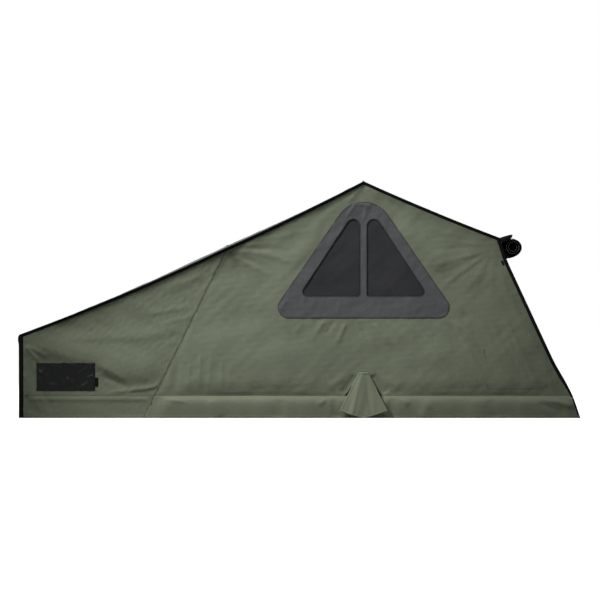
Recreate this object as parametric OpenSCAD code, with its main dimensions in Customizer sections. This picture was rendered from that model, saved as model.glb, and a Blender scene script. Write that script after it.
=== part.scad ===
// Folding rooftop tent, pitched, with a canopy over the entrance at its left end.
// X runs along the tent, Y across it and Z up. The near side is at negative Y.
// The origin lies on the fold line, in the middle of the width, at the underside of the base.

/* [Tent outline] */
// Width over the two side walls
tent_w = 1450; // [1300:10:1600]
// Height of the ridge, over the centre bow
ridge_h = 1307; // [1250:1:1360]
// Distance of the left bow's top from the fold line
left_bow_x = 753; // [720:1:790]
// Height of the roof over the left bow
left_bow_h = 952; // [920:1:980]
// Distance of the right bow's top from the fold line
right_bow_x = 748; // [715:1:785]
// Height of the roof over the right bow
right_bow_h = 996; // [960:1:1030]
// Distance of the canopy's front from the fold line
canopy_x = 1900; // [1750:1:2050]
// Height of the canopy hoop's crossbar at its centre
hoop_h = 446; // [380:1:520]
// Drop of the canopy roof below a straight line
canopy_sag = 15; // [4:1:24]
// Drop of each cabin roof slope below a straight line
roof_sag = 7; // [2:1:10]
// Drop of the left roof slope at the side walls, over the bends of the bows
left_shoulder = 14; // [6:1:18]
// Drop of the right roof slope at the side walls
right_shoulder = 3; // [2:1:8]
// Thickness of the cloth panels
cloth_t = 4; // [3:0.5:5]

/* [Base] */
// Length of each half of the base
base_half = 1150; // [1100:5:1200]
// Height of the edge channels, where walls and skirts are fixed
edge_h = 118; // [110:1:126]
// Wall of the edge channels
edge_t = 4; // [3:0.5:5]
// Width of the flanges of the edge channels
edge_flange = 30; // [24:1:36]
// Height of the ledge that carries the floor boards
ledge_h = 49; // [44:1:54]
// Thickness of the floor boards
board_t = 30; // [20:1:34]
// Width of the cross beams
beam_w = 40; // [30:1:50]
// Distance from the fold line to the first mounting rail
rail_x = 250; // [200:5:300]
// Distance between the two mounting rails
rail_pitch = 640; // [560:5:700]
// Width of the mounting rails across their web
rail_w = 46; // [40:1:56]
// Thickness of the mounting rails
rail_t = 3; // [2.5:0.5:4]
// Distance between the two bolt holes of a mounting rail
bolt_pitch = 900; // [700:10:1000]
// Radius of the bolt holes
bolt_r = 4.5; // [4.2:0.1:5.5]

/* [Skirts] */
// Distance that the end skirt swings out at its hem
end_flare = 40; // [20:1:50]
// Distance that the seam between cabin and canopy runs out at its foot
seam_flare = 54; // [20:1:70]
// Distance that the side skirts swing out at their hem
side_flare = 20; // [10:1:30]
// Half width of the slot in the side skirts at the fold
skirt_slot = 60; // [40:1:80]

/* [Bows and hinges] */
// Radius of the bow tubes
bow_r = 11; // [9:0.5:12]
// Radius of the canopy hoop's tube
hoop_r = 12; // [10:0.5:14]
// Bend radius of the bows and the hoop
bend_r = 60; // [50:1:80]
// Distance between the bow tubes and the side walls
bow_side_gap = 6; // [5.5:0.5:10]
// Height of the hinge pin
hinge_h = 140; // [136:1:146]
// Height of the pins of the two outer bows
pivot_h = 165; // [160:1:170]
// Distance of those pins from the fold line
pivot_x = 48; // [44:1:54]
// Radius of the hinge and bow pins
pin_r = 5; // [4:0.5:6]
// Radius of the eyes at the feet of the bows
eye_r = 14; // [13:0.5:15]
// Thickness of the hinge leaves
leaf_t = 5; // [4:0.5:6]
// Length of each hinge leaf along the base
leaf_len = 100; // [90:1:104]

/* [Canopy frame] */
// Radius of the canopy side rails
canopy_rail_r = 9; // [7:0.5:9.5]
// Height of the canopy side rails
canopy_rail_h = 131; // [129:1:140]
// Length of the sockets that hold the canopy rails
socket_len = 70; // [50:1:90]
// Width of the sockets
socket_w = 24; // [22.5:0.5:25]
// Height of the clamps between rails and hoop
clamp_h = 44; // [30:1:60]

/* [Windows] */
// Height of the lower edge of the window surround
frame_z = 551; // [500:1:570]
// Half width of the surround's base, before its corners are rounded
frame_half = 528; // [500:1:540]
// Slope of the surround's sides
frame_slope = 55.4; // [54:0.1:56]
// Radius of the surround's top
frame_top_r = 162; // [140:1:180]
// Radius of the surround's lower corners
frame_low_r = 60; // [40:1:70]
// Height of the lower edge of the panes
pane_z = 671; // [660:1:700]
// Half width of the panes' base, before their corners are rounded
pane_half = 358; // [340:1:365]
// Slope of the panes' outer sides
pane_slope = 56.6; // [55:0.1:57]
// Radius of the panes' tops
pane_top_r = 38; // [30:1:45]
// Radius of the panes' lower corners
pane_low_r = 20; // [12:1:28]
// Width of the bar between the two panes
mullion = 40; // [30:1:60]
// Width of the seam by which the surround overlaps the mesh
mesh_lap = 6; // [4:1:10]
// Thickness of surround, mesh and other light trim
trim_t = 2; // [1.5:0.5:2.5]

/* [End openings] */
// Width of the mesh window in the right end wall
end_window_w = 1000; // [800:10:1100]
// Distance of that window from the top of the wall, along the slope
end_window_top = 190; // [170:5:240]
// Height of that window along the slope
end_window_h = 620; // [500:5:660]
// Width of the doorway at the canopy end
door_w = 800; // [700:10:900]
// Distance of the doorway from the top of its wall, along the slope
door_top = 150; // [140:5:180]
// Height of the doorway along the slope
door_h = 680; // [600:5:700]
// Radius of the corners of both openings
end_corner_r = 80; // [50:5:100]
// Radius of the rolled door flap of the right end
roll_r = 43; // [34:1:44]
// Radius of the rolled door flap under the canopy
inner_roll_r = 34; // [28:1:36]
// Distance of a roll's middle from the top of its wall, along the slope
roll_s = 85; // [75:1:95]
// Length of the rolls
roll_len = 1340; // [1100:10:1380]
// Thickness of the rolled cloth
roll_t = 3; // [2.5:0.5:3.5]
// Gap between the turns of a roll
roll_gap = 2; // [1.5:0.5:3]
// Number of turns in a roll
roll_turns = 3; // [2:1:4]
// Distance between the straps of a roll
strap_pitch = 480; // [400:10:560]
// Width of the straps
strap_w = 30; // [20:1:40]

/* [Trim] */
// Width of the edge binding along the roof
binding_w = 12; // [8:1:16]
// Width of the sleeve over the canopy post
sleeve_w = 28; // [20:1:36]
// Width of the binding down the right end
end_binding_w = 22; // [14:1:28]
// Thickness of the binding
binding_t = 2.5; // [1.5:0.5:3]
// Height of the top of the hinge hood
hood_top_h = 251; // [240:1:270]
// Half width of the hood at its top
hood_top_half = 26; // [20:1:34]
// Half width of the hood at its lower corners
hood_low_half = 132; // [128:1:140]
// Height of the hood's lower corners
hood_corner_h = 41; // [30:1:50]
// Distance that the hood stands out at its hem
hood_depth = 44; // [38:1:55]
// Distance that the hood stands out at its top
hood_top_depth = 8; // [6:1:12]
// Distance that the hood stands out at the level of the skirt's seam
hood_seam_depth = 30; // [28:1:36]
// Length of the coated patch on the canopy wall
patch_l = 323; // [250:1:360]
// Height of the coated patch
patch_h = 153; // [120:1:180]
// Distance of the patch from the canopy's front
patch_x = 96; // [80:1:120]
// Height of the patch's lower edge
patch_z = 151; // [130:1:170]
// Length of the tab beside the patch
patch_tab_l = 16; // [10:1:24]
// Height of that tab
patch_tab_h = 48; // [30:1:60]
// Distance of the tab above the patch's lower edge
patch_tab_z = 15; // [5:1:60]
// Length of the doubled corner at the left bow
left_corner_l = 70; // [50:1:90]
// Height of that corner
left_corner_h = 88; // [60:1:100]
// Distance that its lower edge runs on past the bow
left_corner_splay = 34; // [20:1:40]
// Length of the doubled corner at the right bow
right_corner_l = 30; // [20:1:50]
// Height of that corner
right_corner_h = 96; // [70:1:110]
// Distance of that corner from the bow
right_corner_x = 30; // [28:1:40]
// Width of the tie-back tabs
tab_w = 13; // [10:1:20]
// Length of the tie-back tabs
tab_l = 26; // [20:1:40]
// Turn of the tie-back tabs from upright
tab_turn = 25; // [0:1:30]
// Distance of the tie-back tabs past the right bow
tab_x = 20; // [10:1:30]
// Distance of the tie-back tabs below the roof
tab_fall = 155; // [130:1:180]
// Length of the pocket on the side wall
pocket_l = 342; // [280:1:360]
// Height of the pocket
pocket_h = 193; // [150:1:230]
// Distance of the pocket from the fold line
pocket_x = 670; // [600:1:690]
// Height of the pocket's lower edge
pocket_z = 160; // [150:1:180]
// Size of the pocket's cut lower corners
pocket_cut = 30; // [10:1:50]
// Distance that the rain flap stands out over the rolled flap of the right end
visor_reach = 71; // [60:1:80]
// Length of the rain flap across the tent
visor_len = 1400; // [1200:10:1430]

/* [Hidden] */
$fn = 48;

// Clearance between pieces that lie against each other
fit = 0.3;
// Clearance between the cloth and the tubes under it
tube_fit = 0.6;
// Clearance of a pin in its hole, and of a rail in its socket
pin_fit = 0.05;
// Clearance round the hinge leaves in the cloth
leaf_gap = 4;
// Length of wall left open at the seams that the binding covers
seam_gap = 3;
// Number of straight steps in a sagging edge
sag_steps = 8;
// Overshoot of a cutter past the faces that it cuts
over = 1;
// Height of the lower edge of the hinge leaves
leaf_low_h = 12;
// Height of the hinge leaves away from their pins
leaf_top_h = 80;
// Distance of the hinge leaves from the fold line
leaf_x = 1;
// Height of the bars that join eye and leaf at the fold
leaf_arm_h = 16;
// Distance of the lower edge of the left leaf's lug below the hinge pin
lug_fall = 30;
// Height of the web behind that lug
lug_web_h = 20;
// Thickness of the round heads of the pins
pin_head_t = 2;
// Length of the collars at the inner ends of the pins
collar_l = 4;
// Width of the side flanges of the mounting rails
rail_flange = 17;
// Distance of the hoop's feet from the ground
hoop_foot_h = 3;
// Wall of the clamps between rails and hoop
clamp_t = 4;
// Wall of the sockets over the canopy rails
socket_t = 2;

side_y = tent_w / 2;
inner_y = side_y - cloth_t - fit;
bow_y = inner_y - bow_side_gap - bow_r;
floor_h = ledge_h + board_t;
foot_skin = cloth_t * norm([base_half - right_bow_x, right_bow_h - edge_h]) / (right_bow_h - edge_h);
wall_foot_x = base_half + 2 * fit + foot_skin;
eye_half = bow_r;

// Corners of the outline, in the plane of the side walls
hoop_skin = hoop_r + tube_fit + cloth_t;
hoop_centre = [hoop_skin - canopy_x, hoop_h];
left_top = [-left_bow_x, left_bow_h];
ridge_top = [0, ridge_h];
right_top = [right_bow_x, right_bow_h];
end_foot = [wall_foot_x, edge_h];
entrance_foot = [-wall_foot_x, edge_h];
end_hem = [wall_foot_x + end_flare, 0];
entrance_hem = [-wall_foot_x - seam_flare, 0];
canopy_angle = atan2(left_bow_h - hoop_h, left_bow_x * -1 - hoop_centre[0]);
canopy_top = hoop_centre + hoop_skin * [-sin(canopy_angle), cos(canopy_angle)];

// Centres of the bows' crossbars, under the cloth on both of their sides
bow_skin = bow_r + tube_fit + cloth_t;
left_bow_top = tucked(left_top, canopy_top, ridge_top, bow_skin);
centre_bow_top = tucked(ridge_top, left_top, right_top, bow_skin);
right_bow_top = tucked(right_top, ridge_top, end_foot, bow_skin);
left_foot = [-pivot_x, pivot_h];
right_foot = [pivot_x, pivot_h];
centre_foot = [0, hinge_h];

// Top lines of the roof panels in the middle of the tent
canopy_line = sagging(canopy_top, left_top, canopy_sag);
left_line = sagging(left_top, ridge_top, roof_sag);
right_line = sagging(ridge_top, right_top, roof_sag);

olive = [0.38, 0.41, 0.34];
charcoal = [0.25, 0.26, 0.28];
black = [0.09, 0.09, 0.1];
alu = [0.7, 0.71, 0.72];
board = [0.66, 0.55, 0.4];

function unit(v) = v / norm(v);
function tail(list) = [for (i = [1:len(list) - 1]) list[i]];
function reversed(list) = [for (i = [len(list) - 1:-1:0]) list[i]];

// Point at distance d under the corner p, whose edges run to q and s
function tucked(p, q, s, d) =
    let (u = unit(q - p), v = unit(s - p), w = unit(u + v))
    p - w * sign(w[1]) * d / sin(acos(u * v) / 2);

// Points from a to b on a line that hangs through by sag
function sagging(a, b, sag) =
    [for (i = [0:sag_steps]) let (t = i / sag_steps) a + (b - a) * t - [0, 4 * sag * t * (1 - t)]];

// Drop of the roof's side edge below its middle, at distance t along a line
function dropped(line, from, to) =
    let (n = len(line) - 1)
    [for (i = [0:n]) line[i] - [0, from + (to - from) * i / n]];

// Points of a line moved to its right by distance d
function beside(line, d) =
    let (n = len(line) - 1)
    [for (i = [0:n]) let (u = unit(line[min(i + 1, n)] - line[max(i - 1, 0)]))
        line[i] + d * [u[1], -u[0]]];

// Arc that rounds the corner b between a and c with radius r
function rounded(a, b, c, r, steps = 8) =
    let (u = unit(a - b), v = unit(c - b), half = acos(u * v) / 2,
        centre = b + unit(u + v) * r / sin(half),
        start = b + u * r / tan(half) - centre,
        turn = sign(u[0] * v[1] - u[1] * v[0]) * (180 - 2 * half))
    [for (i = [0:steps]) let (w = -turn * i / steps)
        centre + [start[0] * cos(w) - start[1] * sin(w), start[0] * sin(w) + start[1] * cos(w)]];

// Closed outline through the corners, each with its own radius
function rounded_outline(corners, radii) =
    let (n = len(corners))
    [for (i = [0:n - 1]) each
        rounded(corners[(i + n - 1) % n], corners[i], corners[(i + 1) % n], radii[i])];

function arc(centre, r, from, to, steps) =
    [for (i = [0:steps]) let (w = from + (to - from) * i / steps) centre + r * [cos(w), sin(w)]];

// Placement helpers

module near_face(y, t) {
    translate([0, -y, 0]) rotate([90, 0, 0]) linear_extrude(t) children();
}

module across(half) {
    translate([0, half, 0]) rotate([90, 0, 0]) linear_extrude(2 * half) children();
}

module both_sides() {
    children();
    mirror([0, 1, 0]) children();
}

module far_side() {
    mirror([0, 1, 0]) children();
}

// Frame of a sloping wall: X runs down the slope from a, Z stands out from it
module on_slope(a, b) {
    translate([a[0], 0, a[1]])
        rotate([0, -atan2(b[1] - a[1], b[0] - a[0]), 0])
            children();
}

// Base

module floor_board() {
    across(inner_y - edge_t - fit)
        translate([0, ledge_h])
            square([base_half - edge_t - fit, board_t]);
}

// Section of the edge channel, X inwards from its outer face
module edge_section() {
    polygon([[0, 0], [edge_flange, 0], [edge_flange, edge_t], [edge_t, edge_t],
        [edge_t, ledge_h - edge_t], [edge_flange, ledge_h - edge_t], [edge_flange, ledge_h],
        [edge_t, ledge_h], [edge_t, edge_h], [0, edge_h]]);
}

module base_frame() {
    side_len = base_half - edge_flange - fit;
    both_sides()
        translate([0, -inner_y, 0]) rotate([90, 0, 90]) linear_extrude(side_len) edge_section();
    across(inner_y)
        translate([base_half, 0]) mirror([1, 0]) edge_section();
    beam_half = inner_y - edge_flange - fit;
    across(beam_half)
        square([beam_w, ledge_h]);
    across(beam_half)
        translate([base_half - edge_flange - 2 * beam_w, 0]) square([beam_w, ledge_h]);
}

module left_floor() color(board) mirror([1, 0, 0]) floor_board();
module right_floor() color(board) floor_board();
module left_base_frame() {
    color(alu) {
        mirror([1, 0, 0]) base_frame();
        across(inner_y - edge_flange - fit)
            translate([-base_half / 2, 0]) square([beam_w, ledge_h]);
    }
}
module right_base_frame() color(alu) base_frame();

// Hat rails with an open top under the board and bolt holes in the web
module mounting_rails() {
    half_w = rail_w / 2;
    flange = half_w + rail_flange;
    color(alu)
        for (x = [rail_x, rail_x + rail_pitch])
            difference() {
                across(inner_y - edge_flange - fit)
                    translate([x, 0])
                        polygon([[-flange, ledge_h], [-flange, ledge_h - rail_t],
                            [-half_w, ledge_h - rail_t], [-half_w, 0], [half_w, 0],
                            [half_w, ledge_h - rail_t], [flange, ledge_h - rail_t],
                            [flange, ledge_h], [half_w - rail_t, ledge_h], [half_w - rail_t, rail_t],
                            [rail_t - half_w, rail_t], [rail_t - half_w, ledge_h]]);
                for (y = [-bolt_pitch / 2, bolt_pitch / 2])
                    translate([x, y, -over]) cylinder(h = rail_t + 2 * over, r = bolt_r);
            }
}

// Hinges at the fold, whose leaves also carry the bows

module leaf_plate(side) {
    head = eye_r - 1;
    neck_x = leaf_x + head;
    neck_low = hinge_h - 2 * head;
    difference() {
        union() {
            polygon([for (p = [[leaf_x, leaf_low_h], [leaf_len, leaf_low_h], [leaf_len, leaf_top_h],
                [pivot_x + head, pivot_h - 2], [pivot_x - head, pivot_h + 2],
                [neck_x, hinge_h + pin_r - 1], [neck_x, neck_low],
                [leaf_x, neck_low - leaf_arm_h / 2]]) [side * p[0], p[1]]]);
            translate([side * pivot_x, pivot_h]) circle(r = head);
            children();
        }
        translate([side * pivot_x, pivot_h]) circle(r = pin_r + pin_fit);
        translate([0, hinge_h]) circle(r = pin_r + pin_fit);
    }
}

module right_leaf() {
    near_face(inner_y, leaf_t)
        leaf_plate(1) {
            translate([0, hinge_h]) circle(r = eye_r - 2);
            translate([0, hinge_h - leaf_arm_h / 2]) square([pivot_x - eye_r, leaf_arm_h]);
        }
}

// The left leaf has a lug in front of the right leaf's eye
module left_leaf() {
    lug_x = eye_r + 2;
    lug_low = hinge_h - lug_fall;
    lug_top = hinge_h + pin_r - 1;
    near_face(inner_y, leaf_t) leaf_plate(-1);
    near_face(inner_y + leaf_t + fit, leaf_t)
        difference() {
            union() {
                translate([0, hinge_h]) circle(r = eye_r - 2);
                translate([-pivot_x - 2, lug_low]) square([pivot_x - 4, lug_top - lug_low]);
                translate([-lug_x, lug_top - leaf_arm_h]) square([lug_x, leaf_arm_h]);
            }
            translate([0, hinge_h]) circle(r = pin_r + pin_fit);
        }
    near_face(inner_y + leaf_t / 2, leaf_t)
        translate([-pivot_x, lug_low]) square([pivot_x - lug_x - 4, lug_web_h]);
}

module pivot_pin(p, reach) {
    start = bow_y - eye_half - collar_l;
    translate([p[0], 0, p[1]])
        rotate([90, 0, 0]) {
            translate([0, 0, start]) cylinder(h = reach - start, r = pin_r);
            translate([0, 0, reach]) cylinder(h = pin_head_t, r = pin_r + 1.5);
            translate([0, 0, start]) cylinder(h = collar_l - fit, r = pin_r + 3);
        }
}

module left_hinge_leaves() color(alu) both_sides() left_leaf();
module right_hinge_leaves() color(alu) both_sides() right_leaf();
module pivot_pins() {
    color(alu)
        both_sides() {
            pivot_pin(left_foot, inner_y + leaf_t + fit);
            pivot_pin(right_foot, inner_y + leaf_t + fit);
            pivot_pin(centre_foot, inner_y + 2 * leaf_t + 2 * fit);
        }
}

// Bent tube frames

// Inverted U in the YZ plane, with its crossbar's centre at height h
module bent_tube(h, r, low) {
    straight_y = bow_y - bend_r;
    both_sides() {
        translate([0, -bow_y, low]) cylinder(h = h - bend_r - low, r = r);
        translate([0, -straight_y, h - bend_r])
            mirror([0, 1, 0]) rotate([90, 0, 90])
                rotate_extrude(angle = 90) translate([bend_r, 0]) circle(r = r);
    }
    translate([0, -straight_y, h]) rotate([-90, 0, 0]) cylinder(h = 2 * straight_y, r = r);
}

module bow(foot, top) {
    d = top - foot;
    translate([foot[0], 0, foot[1]])
        rotate([0, atan2(d[0], d[1]), 0])
            difference() {
                union() {
                    bent_tube(norm(d), bow_r, 0);
                    both_sides()
                        translate([0, eye_half - bow_y, 0]) rotate([90, 0, 0])
                            cylinder(h = 2 * eye_half, r = eye_r);
                }
                rotate([90, 0, 0])
                    cylinder(h = tent_w, r = pin_r + pin_fit, center = true);
            }
}

module left_bow() color(alu) bow(left_foot, left_bow_top);
module centre_bow() color(alu) bow(centre_foot, centre_bow_top);
module right_bow() color(alu) bow(right_foot, right_bow_top);

// Canopy frame

socket_x = -base_half + edge_t + 2;
socket_top = canopy_rail_h + socket_w / 2 + socket_t;

module canopy_hoop() {
    color(alu)
        translate([hoop_centre[0], 0, 0]) bent_tube(hoop_h, hoop_r, hoop_foot_h);
}

module canopy_rails() {
    clamp_r = hoop_r + clamp_t;
    rail_end = socket_x + socket_len - 2 * socket_t;
    color(alu)
        both_sides()
            translate([0, -bow_y, canopy_rail_h])
                difference() {
                    union() {
                        translate([hoop_centre[0], 0, 0]) rotate([0, 90, 0])
                            cylinder(h = rail_end - hoop_centre[0], r = canopy_rail_r);
                        translate([hoop_centre[0], 0, -clamp_h / 2]) cylinder(h = clamp_h, r = clamp_r);
                    }
                    translate([hoop_centre[0], 0, -clamp_h])
                        cylinder(h = 2 * clamp_h, r = hoop_r + pin_fit);
                    translate([hoop_centre[0] - hoop_r - clamp_r, -clamp_r - over, -clamp_h])
                        cube([clamp_r, 2 * (clamp_r + over), 2 * clamp_h]);
                }
}

module canopy_sockets() {
    color(alu)
        both_sides()
            difference() {
                translate([socket_x, -bow_y - socket_w / 2, floor_h])
                    cube([socket_len, socket_w, socket_top - floor_h]);
                translate([socket_x - over, -bow_y, canopy_rail_h]) rotate([0, 90, 0])
                    cylinder(h = socket_len + 2 * over, r = canopy_rail_r + pin_fit);
            }
}

// Closed shell between two grids of points with m points to a row
module skin(outer, inner, m) {
    count = len(outer);
    n = count / m - 1;
    faces = concat(
        [for (i = [0:n - 1]) each [for (j = [0:m - 2]) each let (a = i * m + j)
            [[a, a + 1, a + m + 1], [a, a + m + 1, a + m]]]],
        [for (i = [0:n - 1]) each [for (j = [0:m - 2]) each let (a = count + i * m + j)
            [[a, a + m + 1, a + 1], [a, a + m, a + m + 1]]]],
        [for (i = [0:n - 1]) each let (a = i * m, b = a + m - 1)
            [[a, a + m, a + m + count, a + count], [b, b + count, b + m + count, b + m]]],
        [for (j = [0:m - 2]) each let (a = j, b = n * m + j)
            [[a, a + count, a + count + 1, a + 1], [b, b + 1, b + 1 + count, b + count]]]);
    polyhedron(concat(outer, inner), faces);
}

// Roof panels: each spans the tent, hangs through along its length and drops at the shoulders

shoulder_ys = [0, 20, 40, 60];

module roof_panel(line, from, to) {
    n = len(line) - 1;
    slope = line[n] - line[0];
    thick = cloth_t * norm(slope) / abs(slope[0]);
    width = shoulder_ys[len(shoulder_ys) - 1];
    near = [for (y = shoulder_ys) [-inner_y + y, pow(1 - y / width, 2)]];
    rows = concat(near, [for (p = reversed(near)) [-p[0], p[1]]]);
    m = len(rows);
    top = [for (i = [0:n]) each
        [for (r = rows) [line[i][0], r[0], line[i][1] - r[1] * (from + (to - from) * i / n)]]];
    skin(top, [for (p = top) p - [0, 0, thick]], m);
}

// The roof's ends stand back from each other at the bows
function trimmed(line, from, to) =
    let (n = len(line) - 1, a = unit(line[1] - line[0]), b = unit(line[n] - line[n - 1]))
    [for (i = [0:n]) i == 0 ? line[0] + a * from : i == n ? line[n] - b * to : line[i]];

module canopy_roof() {
    from = fit + cloth_t * tan(canopy_angle);
    color(charcoal) roof_panel(trimmed(canopy_line, from, fit), 0, left_shoulder);
}
module left_roof() {
    color(charcoal) roof_panel(trimmed(left_line, fit, fit), left_shoulder, right_shoulder);
}
module right_roof() {
    color(charcoal) roof_panel(trimmed(right_line, fit, fit), right_shoulder, right_shoulder);
}

// Side walls

canopy_edge = dropped(canopy_line, 0, left_shoulder);
left_edge = dropped(left_line, left_shoulder, right_shoulder);
right_edge = dropped(right_line, right_shoulder, right_shoulder);

function pane_corners(grow) =
    let (in_x = mullion / 2 - grow, low = pane_z - grow,
        out_x = pane_half + grow / tan(pane_slope / 2))
    [[in_x, low], [out_x, low], [in_x, low + (out_x - in_x) * tan(pane_slope)]];

module panes(grow) {
    radii = [pane_low_r / 2, pane_low_r, pane_top_r];
    for (side = [-1, 1])
        mirror([side < 0 ? 1 : 0, 0])
            polygon(rounded_outline(pane_corners(grow), [for (r = radii) r + grow]));
}

// Clear space in the cloth round the hinge leaves
module hinge_slot() {
    x = leaf_len + leaf_gap;
    eye = eye_r + leaf_gap;
    low = leaf_top_h + leaf_gap;
    polygon([[-x, -over], [-x, low], [-pivot_x - eye, pivot_h + leaf_gap], [-pivot_x, pivot_h + eye],
        [pivot_x, pivot_h + eye], [pivot_x + eye, pivot_h + leaf_gap], [x, low], [x, -over]]);
}

module cabin_wall() {
    near_face(inner_y + fit, cloth_t)
        difference() {
            polygon(concat(left_edge, right_edge, [end_foot, entrance_foot]));
            panes(mesh_lap);
            hinge_slot();
        }
}

module canopy_wall() {
    near_face(inner_y + fit, cloth_t)
        translate([-fit, 0])
            polygon(concat(
                [[-canopy_x + fit, 0], [-canopy_x + fit, hoop_h]],
                arc(hoop_centre + [fit, 0], hoop_skin, 180, 90 + canopy_angle, 6),
                canopy_edge,
                [entrance_foot, entrance_hem]));
}

module near_wall() color(olive) cabin_wall();
module far_wall() color(olive) far_side() cabin_wall();
module near_canopy_wall() color(olive) canopy_wall();
module far_canopy_wall() color(olive) far_side() canopy_wall();

// Front of the canopy, drawn over the hoop's crossbar
module canopy_front() {
    inner = hoop_skin - cloth_t;
    color(olive)
        across(inner_y)
            polygon(concat(
                [[-canopy_x, 0]],
                arc(hoop_centre, hoop_skin, 180, 90 + canopy_angle, 8),
                arc(hoop_centre, inner, 90 + canopy_angle, 180, 8),
                [[cloth_t - canopy_x, 0]]));
}

// End walls

module end_opening(top, w, h) {
    half = w / 2;
    polygon(rounded_outline([[top, -half], [top, half], [top + h, half], [top + h, -half]],
        [for (i = [1:4]) end_corner_r]));
}

module slope_panel(a, b, from, top, w, h) {
    on_slope(a, b)
        translate([0, 0, -cloth_t])
            linear_extrude(cloth_t)
                difference() {
                    translate([from, -inner_y]) square([norm(b - a) - from, 2 * inner_y]);
                    end_opening(top, w, h);
                }
}

module end_wall() {
    from = seam_gap + right_shoulder + fit;
    color(olive)
        slope_panel(right_top, end_foot, from, end_window_top, end_window_w, end_window_h);
}

module end_mesh() {
    color(black)
        on_slope(right_top, end_foot)
            translate([0, 0, -(cloth_t + trim_t) / 2])
                linear_extrude(trim_t)
                    end_opening_mesh();
}

module end_opening_mesh() {
    half = end_window_w / 2 - fit;
    top = end_window_top + fit;
    low = end_window_top + end_window_h - fit;
    polygon(rounded_outline([[top, -half], [top, half], [low, half], [low, -half]],
        [for (i = [1:4]) end_corner_r - fit]));
}

// The entrance wall hangs from the underside of the left bow
entrance_top = [-left_bow_top[0], left_bow_top[1]];
entrance_end = [wall_foot_x, edge_h];
entrance_from = bow_r + cloth_t;

module entrance_wall() {
    notch = bow_y - canopy_rail_r - leaf_gap;
    color(olive)
        mirror([1, 0, 0])
            difference() {
                slope_panel(entrance_top, entrance_end, entrance_from, door_top, door_w, door_h);
                both_sides()
                    translate([base_half - 2 * edge_flange, notch, 0])
                        cube([4 * edge_flange, tent_w, socket_top + leaf_gap]);
            }
}

// Rolled flaps, sewn on at the top of the wall and held by straps

function spiral(r, from, steps, last) =
    [for (i = [0:last]) let (w = -90 + 360 * i / steps, q = r - from - (roll_t + roll_gap) * i / steps)
        q * [cos(w), sin(w)]];

module roll_section(r) {
    steps = 20;
    last = steps * roll_turns;
    translate([roll_s, fit + r])
        polygon(concat(spiral(r, 0, steps, last), reversed(spiral(r, roll_t, steps, last))));
    translate([2 * seam_gap, fit]) square([roll_s - 2 * seam_gap + 1, roll_t]);
}

module flap_roll(r) {
    across(roll_len / 2) roll_section(r);
}

module roll_straps(r) {
    loop_r = r + fit;
    for (y = [-strap_pitch, 0, strap_pitch])
        translate([roll_s, y + strap_w / 2, 0])
            rotate([90, 0, 0]) {
                linear_extrude(strap_w)
                    for (side = [-1, 1])
                        mirror([side < 0 ? 1 : 0, 0]) {
                            low = side < 0 ? fit + roll_t + fit : fit;
                            translate([loop_r, low]) square([trim_t, r + fit - low]);
                            translate([loop_r, low]) square([side < 0 ? trim_t : 30, trim_t]);
                        }
                translate([0, r + fit, 0])
                    rotate_extrude(angle = 180)
                        translate([loop_r, 0]) square([trim_t, strap_w]);
            }
}

module end_flap_roll() color(black) on_slope(right_top, end_foot) flap_roll(roll_r);
module end_roll_straps() color(black) on_slope(right_top, end_foot) roll_straps(roll_r);

module entrance_flap_roll() {
    color(black) mirror([1, 0, 0]) on_slope(entrance_top, entrance_end)
        translate([entrance_from, 0, 0]) flap_roll(inner_roll_r);
}

module entrance_roll_straps() {
    color(black) mirror([1, 0, 0]) on_slope(entrance_top, entrance_end)
        translate([entrance_from, 0, 0]) roll_straps(inner_roll_r);
}

// Section of the rain flap: distance down the wall and share of the reach
visor_line = [[7, 0], [7.5, 0.28], [8, 0.53], [11, 0.78], [15, 0.95], [19, 1], [24, 0.965], [31, 0.84]];

module end_visor() {
    low = 2 * fit + roll_t;
    line = [for (p = visor_line) [p[0], low + p[1] * (visor_reach - low)]];
    color(black)
        on_slope(right_top, end_foot)
            across(visor_len / 2) polygon(concat(line, reversed(beside(line, roll_t))));
}

// Skirts

// Slanting slab under the side wall's foot, from its inner face outwards
module flared_slab(face, t) {
    top = edge_h - fit;
    intersection() {
        translate([-canopy_x, 0, 0])
            rotate([90, 0, 90])
                linear_extrude(2 * canopy_x)
                    polygon([[-face, top], [-face - t, top], [-face - t - side_flare, 0],
                        [-face - side_flare, 0]]);
        near_face(0, tent_w) children();
    }
}

module side_skirt() {
    flared_slab(inner_y + fit, cloth_t)
        difference() {
            polygon([entrance_foot, end_foot, end_hem, entrance_hem]);
            translate([-skirt_slot, -over]) square([2 * skirt_slot, edge_h + 2 * over]);
            intersection() {
                hinge_slot();
                translate([-base_half, leaf_top_h]) square([2 * base_half, edge_h]);
            }
        }
}

module near_skirt() color(olive) side_skirt();
module far_skirt() color(olive) far_side() side_skirt();

module end_skirt() {
    face = inner_y;
    skirt_gap = cloth_t / 2 + fit;
    color(olive)
        intersection() {
            across(tent_w)
                polygon([end_foot - [cloth_t, skirt_gap], end_foot - [0, skirt_gap], end_hem,
                    end_hem - [cloth_t, 0]]);
            rotate([90, 0, 90])
                linear_extrude(2 * base_half)
                    polygon([[-face, edge_h], [face, edge_h],
                        [face + side_flare, 0], [-face - side_flare, 0]]);
        }
}

// Windows

module window_frame() {
    low = frame_z;
    peak = frame_half * tan(frame_slope);
    near_face(side_y + fit, trim_t)
        difference() {
            polygon(rounded_outline([[-frame_half, low], [frame_half, low], [0, low + peak]],
                [frame_low_r, frame_low_r, frame_top_r]));
            panes(0);
        }
}

module window_mesh() {
    near_face(side_y - (cloth_t + trim_t) / 2, trim_t) panes(mesh_lap - fit);
}

module near_window_frame() color(charcoal) window_frame();
module far_window_frame() color(charcoal) far_side() window_frame();
module near_window_mesh() color(black) window_mesh();
module far_window_mesh() color(black) far_side() window_mesh();

// Binding along the edges of the side walls

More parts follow.
